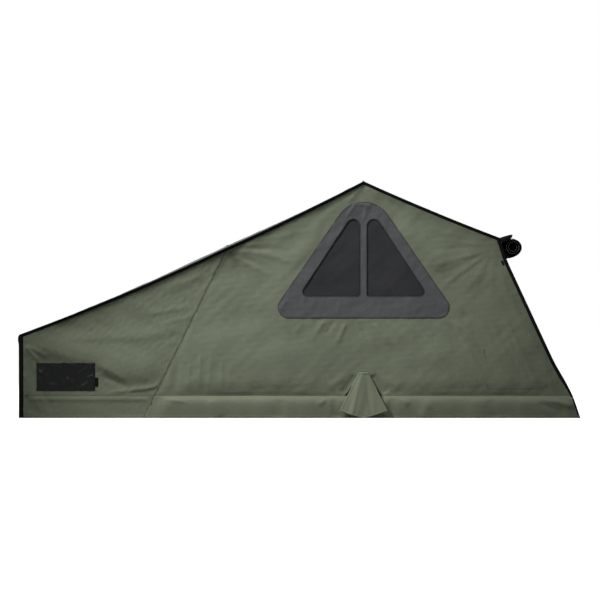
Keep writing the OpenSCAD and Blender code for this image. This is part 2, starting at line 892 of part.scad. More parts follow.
module binding() {
    along = unit(end_foot - right_edge[sag_steps]);
    in_x = -end_binding_w / along[1];
    roof_edge = concat(tail(canopy_edge), tail(left_edge), tail(right_edge));
    post_x = sleeve_w - canopy_x;
    end_x = right_bow_x - in_x;
    under = [for (p = roof_edge) if (p[0] < end_x) p - [0, binding_w]];
    near_face(side_y + fit, binding_t)
        polygon(concat(
            [[-canopy_x, 1]],
            arc(hoop_centre, hoop_skin, 180, 90 + canopy_angle, 6),
            roof_edge,
            [end_foot, end_foot - [in_x, 0], [end_x, lookup(end_x, right_edge) - binding_w]],
            reversed(under),
            [[post_x, lookup(post_x, canopy_edge) - binding_w], [post_x, 1]]));
    flared_slab(side_y + fit, binding_t)
        polygon([end_foot - [in_x, 0], end_foot, end_hem, end_hem - [in_x, 0]]);
}

module near_binding() color(black) binding();
module far_binding() color(black) far_side() binding();

// Hood over the hinge: a skin with a ridge down its middle, open below

// Row of the hood: points from its left edge over the ridge to its right edge, X, Z and depth
function hood_row(left, mid, ridge) =
    [left, mid, ridge, [-mid[0], mid[1], mid[2]], [-left[0], left[1], left[2]]];

module hinge_hood() {
    bulge = 0.8;
    hem_slope = side_flare * (edge_h - hood_corner_h) / edge_h;
    seam_half = hood_top_half + (hood_low_half - hood_top_half)
        * (hood_top_h - edge_h) / (hood_top_h - hood_corner_h);
    rows = [
        hood_row([-hood_top_half, hood_top_h, 0],
            [-hood_top_half / 2, hood_top_h, hood_top_depth * bulge], [0, hood_top_h, hood_top_depth]),
        hood_row([-seam_half, edge_h, 0],
            [-seam_half / 2, edge_h, hood_seam_depth * bulge], [0, edge_h, hood_seam_depth]),
        hood_row([-hood_low_half, hood_corner_h, hem_slope + fit],
            [-hood_low_half / 2, hood_corner_h / 3, hem_slope + hood_depth * bulge / 2],
            [0, 1, hood_depth])];
    m = 5;
    face = side_y + fit;
    outer = [for (row = rows) each [for (p = row) [p[0], -face - p[2], p[1]]]];
    // The inner face stands back by the cloth's thickness, but at the edges only sideways
    inner = [for (i = [0:len(outer) - 1])
        let (p = outer[i], j = i % m, edge = j == 0 || j == m - 1)
        p + [edge ? -sign(p[0]) * 1.5 * cloth_t : 0, edge ? 0 : cloth_t, 0]];
    skin(outer, inner, m);
}

module near_hinge_hood() color(olive) hinge_hood();
module far_hinge_hood() color(olive) far_side() hinge_hood();

// Patches, pockets and tabs of the side walls

module canopy_patches() {
    color(black)
        both_sides()
            near_face(side_y + fit, trim_t)
                translate([patch_x - canopy_x, patch_z]) {
                    square([patch_l, patch_h]);
                    translate([patch_l + fit, patch_tab_z]) square([patch_tab_l, patch_tab_h]);
                }
}

// Two points under a roof edge, below its binding
function under_edge(edge, from, to) =
    [for (x = [from, to]) [x, lookup(x, edge) - binding_w - 2 * fit]];

module corner_patches() {
    left_x = cloth_t - left_bow_x;
    left = under_edge(left_edge, left_x, left_x + left_corner_l);
    left_low = left[0][1] - left_corner_h;
    right_x = right_bow_x - right_corner_x;
    right = under_edge(right_edge, right_x - right_corner_l, right_x);
    right_low = right[1][1] - right_corner_h;
    lean = (wall_foot_x - right_bow_x) / (right_bow_h - edge_h);
    color(olive)
        both_sides()
            near_face(side_y + fit, trim_t) {
                polygon([left[0], left[1], [left[1][0], left_low],
                    [left[0][0] - left_corner_splay, left_low]]);
                polygon([right[0], right[1], [right_x + lean * right_corner_h, right_low],
                    [right[0][0], right_low]]);
            }
}

module strap_tabs() {
    color(black)
        both_sides()
            near_face(side_y + fit, trim_t)
                translate([right_bow_x + tab_x, right_bow_h - tab_fall])
                    rotate(tab_turn) square([tab_w, tab_l]);
}

// Pockets on the inner faces of the walls
module side_pockets() {
    color(olive)
        both_sides()
            near_face(inner_y - trim_t, trim_t)
                translate([pocket_x, pocket_z])
                    polygon([[0, pocket_cut], [pocket_cut, 0], [pocket_l - pocket_cut, 0],
                        [pocket_l, pocket_cut], [pocket_l, pocket_h], [0, pocket_h]]);
}

left_floor();
right_floor();
left_base_frame();
right_base_frame();
mounting_rails();
left_hinge_leaves();
right_hinge_leaves();
pivot_pins();
left_bow();
centre_bow();
right_bow();
canopy_sockets();
canopy_rails();
canopy_hoop();
near_wall();
far_wall();
near_canopy_wall();
far_canopy_wall();
left_roof();
right_roof();
canopy_roof();
canopy_front();
end_wall();
end_mesh();
end_flap_roll();
end_roll_straps();
entrance_wall();
entrance_flap_roll();
entrance_roll_straps();
near_skirt();
far_skirt();
end_skirt();
near_window_frame();
far_window_frame();
near_window_mesh();
far_window_mesh();
near_binding();
far_binding();
near_hinge_hood();
far_hinge_hood();
canopy_patches();
corner_patches();
strap_tabs();
side_pockets();
end_visor();
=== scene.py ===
"""A pitched folding rooftop tent: cloth skins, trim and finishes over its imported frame."""

import logging
import math
from dataclasses import dataclass
from enum import Enum
from typing import Iterable, Protocol, Sequence

import bpy
import numpy as np
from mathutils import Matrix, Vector
from mathutils.geometry import delaunay_2d_cdt
from numpy.linalg import norm


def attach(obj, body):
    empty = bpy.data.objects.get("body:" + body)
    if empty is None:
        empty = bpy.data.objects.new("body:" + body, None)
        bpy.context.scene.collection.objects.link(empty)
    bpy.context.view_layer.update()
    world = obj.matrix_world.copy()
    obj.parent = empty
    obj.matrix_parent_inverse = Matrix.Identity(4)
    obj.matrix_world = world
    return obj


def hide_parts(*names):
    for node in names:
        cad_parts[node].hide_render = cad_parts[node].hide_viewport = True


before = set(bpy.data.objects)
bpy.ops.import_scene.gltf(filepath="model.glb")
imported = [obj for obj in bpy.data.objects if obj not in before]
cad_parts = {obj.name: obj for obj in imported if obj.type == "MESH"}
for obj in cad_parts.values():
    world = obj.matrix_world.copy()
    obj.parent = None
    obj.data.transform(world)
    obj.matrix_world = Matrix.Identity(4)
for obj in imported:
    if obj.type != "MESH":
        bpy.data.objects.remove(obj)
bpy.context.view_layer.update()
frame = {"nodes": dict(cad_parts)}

LOG = logging.getLogger("tent")
BODY = "root"

# Thickness of the wall cloth and of the nets, and what a cross cloth is short of the side walls
CLOTH_T = 0.0012
NET_T = 0.0008
EDGE_IN = 0.0006

Array = np.ndarray
Point = tuple[float, float]
Colour = tuple[float, float, float]
Path = Sequence[Point]
Node = bpy.types.Node
Tree = bpy.types.NodeTree
Socket = bpy.types.NodeSocket
Value = Socket | float


class Side(Enum):
    """A long side of the tent, with the sign of its Y."""

    NEAR = -1.0
    FAR = 1.0

    @property
    def word(self) -> str:
        """First word of the names on this side."""
        return self.name.lower()


class Held(Enum):
    """How a sheet of cloth is held."""

    HUNG = "hung"
    FOLDED = "folded"
    STRETCHED = "stretched"


# ---- plane geometry


def smoothstep(value: Array, low: float, high: float) -> Array:
    """Smooth rise from 0 at low to 1 at high."""
    t = np.clip((value - low) / (high - low), 0.0, 1.0)
    return t * t * (3.0 - 2.0 * t)


def resampled(path: Path, step: float, closed: bool = False) -> Array:
    """Splits each leg of a path into equal parts no longer than a step.

    Args:
        path: Corners of the path.
        step: Longest part, in metres.
        closed: Whether the last corner joins the first.

    Returns:
        The points, without a second copy of the first one.
    """
    corners = np.asarray(path, float)
    ends = np.roll(corners, -1, axis=0) if closed else corners[1:]
    points = []
    for a, b in zip(corners, ends):
        parts = max(1, math.ceil(float(norm(b - a)) / step - 1e-6))
        points.extend(a + (b - a) * i / parts for i in range(parts))
    if not closed:
        points.append(corners[-1])
    return np.array(points)


def inside(points: Array, outline: Array) -> Array:
    """Tells which points lie inside a closed outline."""
    result = np.zeros(len(points), bool)
    for (x0, y0), (x1, y1) in zip(outline, np.roll(outline, -1, axis=0)):
        if y0 != y1:
            crosses = (y0 > points[:, 1]) != (y1 > points[:, 1])
            result ^= crosses & (points[:, 0] < (x1 - x0) * (points[:, 1] - y0) / (y1 - y0) + x0)
    return result


def within(points: Array, rims: Sequence[Array]) -> Array:
    """Tells which points lie in the first outline and in none of the others."""
    result = inside(points, rims[0])
    for rim in rims[1:]:
        result &= ~inside(points, rim)
    return result


def distance_to(points: Array, path: Array, closed: bool = True) -> Array:
    """Distance from each point to the nearest leg of a path."""
    best = np.full(len(points), np.inf)
    for a, b in zip(path, np.roll(path, -1, axis=0) if closed else path[1:]):
        leg = b - a
        t = np.clip((points - a) @ leg / max(float(leg @ leg), 1e-12), 0.0, 1.0)
        best = np.minimum(best, norm(points - a - t[:, None] * leg, axis=1))
    return best


def travelled(path: Array) -> Array:
    """Distance along a path at each of its points."""
    return np.concatenate([[0.0], np.cumsum(norm(np.diff(path, axis=0), axis=1))])


def shoelace(outline: Array) -> float:
    """Signed area of a closed outline, above 0 where it runs anticlockwise."""
    x, y = outline[:, 0], outline[:, 1]
    return float(np.sum(x * np.roll(y, -1) - np.roll(x, -1) * y) / 2.0)


def rounded(corners: Path, radii: Sequence[float], steps: int = 10) -> list[Point]:
    """Closes an outline through corners, each rounded with its own radius.

    Args:
        corners: Corners of the outline.
        radii: Radius of each corner.
        steps: Straight parts that each corner is made of.

    Returns:
        Points of the outline.
    """
    points: list[Point] = []
    for i, radius in enumerate(radii):
        b = np.array(corners[i])
        u, v = np.array(corners[i - 1]) - b, np.array(corners[(i + 1) % len(corners)]) - b
        u, v = u / norm(u), v / norm(v)
        half = math.acos(float(np.clip(u @ v, -1, 1))) / 2.0
        centre = b + (u + v) / norm(u + v) * radius / math.sin(half)
        start = b + u * radius / math.tan(half) - centre
        turn = -math.copysign(math.pi - 2.0 * half, u[0] * v[1] - u[1] * v[0])
        for k in range(steps + 1):
            c, s = math.cos(turn * k / steps), math.sin(turn * k / steps)
            points.append((centre[0] + start[0] * c - start[1] * s, centre[1] + start[0] * s + start[1] * c))
    return points


def box_ring(low: Point, high: Point, radius: float = 0.0) -> list[Point]:
    """Closed outline of an upright rectangle, with rounded corners where it has a radius."""
    corners = [low, (high[0], low[1]), high, (low[0], high[1])]
    return rounded(corners, [radius] * 4, 8) if radius else corners


# ---- outline of the tent


@dataclass(frozen=True)
class RoofSpan:
    """Roof line between two bows, which hangs through and drops towards the side walls."""

    start: Point
    end: Point
    sag: float
    start_drop: float
    end_drop: float

    def middle(self, t: Array) -> Array:
        """Points of the top line in the middle of the width, at shares t of the span."""
        a, b = np.array(self.start), np.array(self.end)
        points = a + np.outer(t, b - a)
        points[:, 1] -= 4.0 * self.sag * t * (1.0 - t)
        return points

    def drop(self, t: Array) -> Array:
        """How far the side edge lies below the middle, at shares t of the span."""
        return self.start_drop + (self.end_drop - self.start_drop) * t

    def edge(self, t: Array) -> Array:
        """Points of the side edge at shares t of the span."""
        points = self.middle(t)
        points[:, 1] -= self.drop(t)
        return points


@dataclass(frozen=True)
class TentOutline:
    """Sizes of the pitched tent, in metres, in the plane of its side walls."""

    side_y: float = 0.725
    ridge: Point = (0.0, 1.307)
    left_top: Point = (-0.753, 0.952)
    right_top: Point = (0.748, 0.996)
    front_x: float = -1.9
    hoop_skin: float = 0.0166
    hoop_h: float = 0.446
    foot_x: float = 1.155
    seam_h: float = 0.118
    end_flare: float = 0.040
    seam_flare: float = 0.054
    side_flare: float = 0.020
    canopy_sag: float = 0.015
    roof_sag: float = 0.007
    left_shoulder: float = 0.014
    right_shoulder: float = 0.003
    shoulder_w: float = 0.064
    end_bow: float = 0.0145
    steps: int = 24

    @property
    def hoop_centre(self) -> Point:
        """Centre of the canopy hoop's crossbar."""
        return (self.front_x + self.hoop_skin, self.hoop_h)

    @property
    def canopy_angle(self) -> float:
        """Slope of the canopy roof."""
        x, z = self.hoop_centre
        return math.atan2(self.left_top[1] - z, self.left_top[0] - x)

    @property
    def hoop_arc(self) -> list[Point]:
        """Cloth round the hoop's crossbar, from the front up to the canopy roof."""
        x, z = self.hoop_centre
        turn = math.pi / 2.0 - self.canopy_angle
        angles = [math.pi - turn * i / 6 for i in range(7)]
        return [(x + self.hoop_skin * math.cos(w), z + self.hoop_skin * math.sin(w)) for w in angles]

    @property
    def canopy_span(self) -> RoofSpan:
        """Roof of the canopy."""
        return RoofSpan(self.hoop_arc[-1], self.left_top, self.canopy_sag, 0.0, self.left_shoulder)

    @property
    def left_span(self) -> RoofSpan:
        """Roof from the left bow up to the ridge."""
        return RoofSpan(self.left_top, self.ridge, self.roof_sag, self.left_shoulder, self.right_shoulder)

    @property
    def right_span(self) -> RoofSpan:
        """Roof from the ridge down to the right bow."""
        return RoofSpan(self.ridge, self.right_top, self.roof_sag, self.right_shoulder, self.right_shoulder)

    def edge(self, span: RoofSpan) -> list[Point]:
        """Side edge of a roof span as a list of points."""
        return [tuple(p) for p in span.edge(np.linspace(0.0, 1.0, self.steps + 1))]

    @property
    def seam_top(self) -> Point:
        """Top of the seam between cabin and canopy."""
        return (self.left_top[0], self.left_top[1] - self.left_shoulder)

    @property
    def end_top(self) -> Point:
        """Top corner of the side wall at the right bow."""
        return (self.right_top[0], self.right_top[1] - self.right_shoulder)

    @property
    def entrance_foot(self) -> Point:
        """Foot of the seam between cabin and canopy, at the base's edge."""
        return (-self.foot_x, self.seam_h)

    @property
    def end_foot(self) -> Point:
        """Foot of the side wall at the right end."""
        return (self.foot_x, self.seam_h)

    @property
    def entrance_hem(self) -> Point:
        """Hem under the seam between cabin and canopy."""
        return (-self.foot_x - self.seam_flare, 0.0)

    @property
    def end_hem(self) -> Point:
        """Hem at the right end."""
        return (self.foot_x + self.end_flare, 0.0)

    def drawn_in(self, top: Point) -> list[Point]:
        """Line from a top corner to the foot of the end wall, drawn in between them.

        Args:
            top: Where the line starts.

        Returns:
            Points of the line, from the top down.
        """
        start, leg = np.array(top), np.subtract(self.end_foot, top)
        inward = np.array([leg[1], -leg[0]]) / norm(leg)
        t = np.linspace(0.0, 1.0, self.steps + 1)
        depth = self.end_bow * smoothstep(t, 0.0, 0.16) * (1.0 - smoothstep(t, 0.74, 0.98))
        line = start + t[:, None] * leg + depth[:, None] * inward
        return [(float(x), float(z)) for x, z in line]

    @property
    def end_edge(self) -> list[Point]:
        """Right edge of the side wall, from the roof down to the skirt."""
        return self.drawn_in(self.end_top)

    @property
    def cabin(self) -> list[Point]:
        """Outline of a cabin side wall."""
        return [
            *self.edge(self.left_span),
            *self.edge(self.right_span)[1:],
            *self.end_edge[1:],
            self.entrance_foot,
        ]

    @property
    def canopy(self) -> list[Point]:
        """Outline of a canopy side wall."""
        return [
            (self.front_x, 0.0),
            *self.hoop_arc,
            *self.edge(self.canopy_span)[1:],
            self.entrance_foot,
            self.entrance_hem,
        ]


# ---- relief of stretched cloth


class Relief(Protocol):
    """Something that lifts a cloth out of its flat face."""

    def lift(self, points: Array) -> Array:
        """Lift at each point, in metres."""
        ...


@dataclass(frozen=True)
class Fold:
    """Long ridge, or hollow where its height is below 0, that fades at both ends.

    The width on its right-hand side is multiplied by a factor of its own.
    """

    start: Point
    end: Point
    height: float
    width: float = 0.014
    end_width: float = 0.024
    fade_in: float = 0.18
    fade_out: float = 0.45
    via: tuple[Point, ...] = ()
    right: float = 1.0

    def lift(self, points: Array) -> Array:
        """Lift of the ridge.

        Args:
            points: Flat points.

        Returns:
            Lift at each point, in metres.
        """
        path = np.array((self.start, *self.via, self.end))
        legs = np.diff(path, axis=0)
        best, along, mark = np.full(len(points), np.inf), np.zeros(len(points)), 0.0
        share = np.ones(len(points))
        for a, leg, size in zip(path, legs, norm(legs, axis=1)):
            t = np.clip((points - a) @ leg / size**2, 0.0, 1.0)
            far = norm(points - a - t[:, None] * leg, axis=1)
            beside = (points - a) @ np.array([-leg[1], leg[0]]) < 0.0
            share = np.where(far < best, np.where(beside, self.right, 1.0), share)
            along = np.where(far < best, mark + t * size, along)
            best = np.minimum(best, far)
            mark += size
        t = along / mark
        width = (self.width + (self.end_width - self.width) * t) * share
        fade = smoothstep(t, 0.0, self.fade_in) * (1.0 - smoothstep(t, 1.0 - self.fade_out, 1.0))
        return self.height * fade * np.exp(-((best / width) ** 2))


def folds(*rows: tuple[int, ...], right: float = 1.0, at: Point = (0.0, 0.0)) -> tuple[Fold, ...]:
    """Folds from rows of whole numbers.

    Args:
        rows: Start and end in mm, height in tenths of a mm, and where a row has more numbers, both
            widths in mm, both fades in percent, and points that the fold passes through in mm.
        right: Factor of the width on the right-hand side.
        at: Point that the rows are measured from.

    Returns:
        The folds.
    """
    made = []
    for x0, z0, x1, z1, height, *more in rows:
        sizes = [n / 1000.0 for n in more[:2]] + [n / 100.0 for n in more[2:4]]
        usual = [Fold.width, Fold.end_width, Fold.fade_in, Fold.fade_out]
        via = tuple((a / 1000.0, b / 1000.0) for a, b in zip(more[4::2], more[5::2]))
        start, end = (tuple(p + n / 1000.0 for p, n in zip(at, ends)) for ends in ((x0, z0), (x1, z1)))
        made.append(Fold(start, end, height / 10000.0, *sizes, *usual[len(sizes) :], via, right))
    return tuple(made)


@dataclass(frozen=True)
class Ripples:
    """Uneven swell of a cloth, made of a few waves in seeded directions."""

    height: float
    length: float
    seed: int
    stretch: Point = (1.0, 1.0)
    waves: int = 14

    def lift(self, points: Array) -> Array:
        """Lift at each point, in metres."""
        rng = np.random.default_rng(self.seed)
        scaled = points / np.array(self.stretch)
        total = np.zeros(len(points))
        for _ in range(self.waves):
            angle, phase = rng.uniform(0.0, 2.0 * math.pi, 2)
            count = 2.0 * math.pi / (self.length * rng.uniform(0.6, 1.7))
            total += np.cos(scaled @ np.array([math.cos(angle), math.sin(angle)]) * count + phase)
        return self.height * total / math.sqrt(self.waves / 2.0)


@dataclass(frozen=True)
class Bulge:
    """Broad soft swelling round a point."""

    centre: Point
    radii: Point
    height: float

    def lift(self, points: Array) -> Array:
        """Lift at each point, in metres."""
        scaled = (points - np.array(self.centre)) / np.array(self.radii)
        return self.height * np.exp(-np.sum(scaled**2, axis=1))


@dataclass(frozen=True)
class EdgeRoll:
    """Cloth that stands out along a tight edge and falls away from it."""

    path: tuple[Point, ...]
    height: float
    reach: float

    def lift(self, points: Array) -> Array:
        """Lift at each point, in metres."""
        return self.height * np.exp(-distance_to(points, np.array(self.path), False) / self.reach)


@dataclass(frozen=True)
class PinnedRelief:
    """Relief that ends at the sewn edges of its cloth, over a broad one that does not."""

    parts: tuple[Relief, ...]
    edge: Path
    hold: float = 0.014
    most: float = 0.014
    least: float = -0.0060
    broad: tuple[Relief, ...] = ()

    def lift(self, points: Array) -> Array:
        """Lift at each point, in metres, within what the cloth has room for."""
        total = np.zeros(len(points))
        for part in self.parts:
            total += part.lift(points)
        limit = np.where(total > 0.0, self.most, self.least)
        total = limit * np.tanh(total / limit)
        total *= smoothstep(distance_to(points, np.array(self.edge)), 0.0, self.hold)
        return total + sum(part.lift(points) for part in self.broad)


class Flat:
    """No relief at all."""

    def lift(self, points: Array) -> Array:
        """Zero at each point."""
        return np.zeros(len(points))


# ---- surfaces that carry cloth


class Surface(Protocol):
    """A face of the tent that flat cuts are laid on."""

    turned: bool

    def place(self, points: Array, lift: Array | float = 0.0) -> Array:
        """Places of flat points on the face, lifted out of it."""
        ...


@dataclass(frozen=True)
class SideFace:
    """Face on one side of the tent; flat points are X and Z."""

    side: Side

    @property
    def turned(self) -> bool:
        """Whether an anticlockwise cut faces inwards."""
        return self.side is Side.FAR


@dataclass(frozen=True)
class WallFace(SideFace):
    """Upright side wall."""

    relief: Relief
    y: float = 0.725

    def place(self, points: Array, lift: Array | float = 0.0) -> Array:
        """Places of flat points on the face, lifted out of it."""
        out = self.y + self.relief.lift(points) + lift
        return np.column_stack([points[:, 0], self.side.value * out, points[:, 1]])


@dataclass(frozen=True)
class SkirtFace(SideFace):
    """Flared skirt along a side, which hangs straight under its seam."""

    outline: TentOutline
    relief: Relief

    def swing(self, points: Array) -> Array:
        """How far the skirt stands out; it is sewn flat at its canopy end."""
        t = 1.0 - np.clip(points[:, 1] / self.outline.seam_h, 0.0, 1.0)
        out = self.outline.side_flare * (1.0 - (1.0 - t) ** 7) - 0.012 * t**1.5
        return out * smoothstep(points[:, 0] + self.outline.foot_x + self.outline.seam_flare * t, 0.0, 0.11)

    def place(self, points: Array, lift: Array | float = 0.0) -> Array:
        """Places of flat points on the face, lifted out of it."""
        out = self.outline.side_y + self.swing(points) + self.relief.lift(points) + lift
        return np.column_stack([points[:, 0], self.side.value * out, points[:, 1]])


@dataclass(frozen=True)
class FootedFace(SideFace):
    """Cabin wall down to its seam and the skirt under it."""

    wall: WallFace
    skirt: SkirtFace

    def place(self, points: Array, lift: Array | float = 0.0) -> Array:
        """Places of flat points on the face, lifted out of it."""
        below = points[:, 1] < self.skirt.outline.seam_h
        return np.where(below[:, None], self.skirt.place(points, lift), self.wall.place(points, lift))


@dataclass(frozen=True)
class LayeredFace(SideFace):
    """A second cloth on a wall, with creases of its own."""

    wall: WallFace
    relief: Relief

    def place(self, points: Array, lift: Array | float = 0.0) -> Array:
        """Places of flat points on the face, lifted out of it."""
        return self.wall.place(points, self.relief.lift(points) + lift)


@dataclass(frozen=True)
class PathFace:
    """Face across the tent along a path; flat points are Y and the distance along the path."""

    path: tuple[Point, ...]
    relief: Relief
    outwards: float = 1.0

    @property
    def turned(self) -> bool:
        """Whether an anticlockwise cut faces inwards."""
        return self.outwards > 0.0

    @property
    def length(self) -> float:
        """Length of the path."""
        return float(np.sum(norm(np.diff(self.path, axis=0), axis=1)))

    def line(self, along: Array) -> tuple[Array, Array]:
        """Points of the path and the directions out of it, in X and Z, at distances along it."""
        corners = np.array(self.path)
        legs, marks = np.diff(corners, axis=0), travelled(corners)
        points = np.column_stack([np.interp(along, marks, corners[:, k]) for k in (0, 1)])
        sizes = norm(legs, axis=1)
        out = np.column_stack([-legs[:, 1], legs[:, 0]]) / sizes[:, None] * self.outwards
        middles = (marks[:-1] + marks[1:]) / 2.0
        normals = np.column_stack([np.interp(along, middles, out[:, k]) for k in (0, 1)])
        return points, normals / norm(normals, axis=1)[:, None]

    def place(self, points: Array, lift: Array | float = 0.0) -> Array:
        """Places of flat points on the face, lifted out of it."""
        xz, out = self.line(points[:, 1])
        xz = xz + out * (self.relief.lift(points) + lift)[:, None]
        return np.column_stack([xz[:, 0], points[:, 0], xz[:, 1]])

    def profile(self, y: float, section: Array, rise: float = 0.0) -> Array:
        """Places at one Y of a section, which is given down the face and out of it."""
        return self.place(np.column_stack([np.full(len(section), y), section[:, 0]]), section[:, 1] + rise)


@dataclass(frozen=True)
class RoofFace:
    """Roof cloth between two bows; flat points are Y and the distance along the roof line."""

    span: RoofSpan
    outline: TentOutline
    relief: Relief
    turned: bool = True

    @property
    def length(self) -> float:
        """Straight distance between the bows."""
        return math.dist(self.span.start, self.span.end)

    def place(self, points: Array, lift: Array | float = 0.0) -> Array:
        """Places of flat points on the face, lifted out of it."""
        o, t = self.outline, points[:, 1] / self.length
        xz = self.span.middle(t)
        beyond = np.clip((np.abs(points[:, 0]) - o.side_y) / o.shoulder_w + 1.0, 0.0, 2.0)
        slope = np.subtract(self.span.end, self.span.start) / self.length
        out = self.relief.lift(points) + lift
        x = xz[:, 0] - slope[1] * out
        z = xz[:, 1] - self.span.drop(t) * beyond**2 + slope[0] * out
        return np.column_stack([x, points[:, 0], z])


@dataclass(frozen=True)
class HoodFace(SideFace):
    """Hood over the hinge, which stands away from the wall."""

    y: float = 0.725
    top: float = 0.251
    top_half: float = 0.026
    low_half: float = 0.132
    corner: float = 0.041
    peak: float = -0.28

    def hem(self, share: Array) -> Array:
        """Height of the hem at a share of the half width, with a small point in the middle."""
        return self.corner * np.abs(share) ** 1.35 * (1.0 - 0.10 * np.exp(-((share / 0.15) ** 2)))

    def outline(self) -> list[Point]:
        """Outline of the hood."""
        shares = np.linspace(1.0, -1.0, 25)
        hem = [(float(q * self.low_half), float(z)) for q, z in zip(shares, self.hem(shares) + 0.0015)]
        return [(self.top_half, self.top), (-self.top_half, self.top), *hem[::-1]]

    def place(self, points: Array, lift: Array | float = 0.0) -> Array:
        """Places of flat points on the face, lifted out of it.

        Args:
            points: Flat points.
            lift: Distance above the hood.

        Returns:
            The places.
        """
        x, z = points[:, 0], points[:, 1]
        down, share = (self.top - z) / self.top, np.zeros(len(x))
        for _ in range(4):
            half = self.top_half + (self.low_half - self.top_half) * down
            share = np.clip(x / half, -1.05, 1.05)
            down = np.clip((self.top - z) / (self.top - self.hem(share)), 0.0, 1.1)
        left = share < self.peak
        away = share - self.peak
        reach = np.where(left, -away / (1.0 + self.peak), away / (1.0 - self.peak))
        edge = 0.003 + np.where(left, 0.026, 0.037) * down
        middle = 0.006 + 0.038 * down**0.6
        rise = 1.0 - reach ** np.where(left, 1.7, 1.35)
        soft = 0.0022 * np.sin(9.0 * share + 5.0 * down) * down * (1.0 - share**2)
        soft += 0.0075 * np.exp(-(((x + 0.008 + 0.060 * down) / 0.012) ** 2)) * down**0.6
        soft -= 0.0055 * np.exp(-(((x - 0.012 - 0.030 * down) / 0.014) ** 2)) * down
        out = self.y + edge + (middle - edge) * np.clip(rise, 0.0, 1.0) + soft + lift
        return np.column_stack([x, self.side.value * out, z])


# ---- mesh making


def new_object(name: str, data: bpy.types.ID) -> bpy.types.Object:
    """A new object in the scene, over its mesh, lamp or camera."""
    obj = bpy.data.objects.new(name, data)
    bpy.context.scene.collection.objects.link(obj)
    return obj


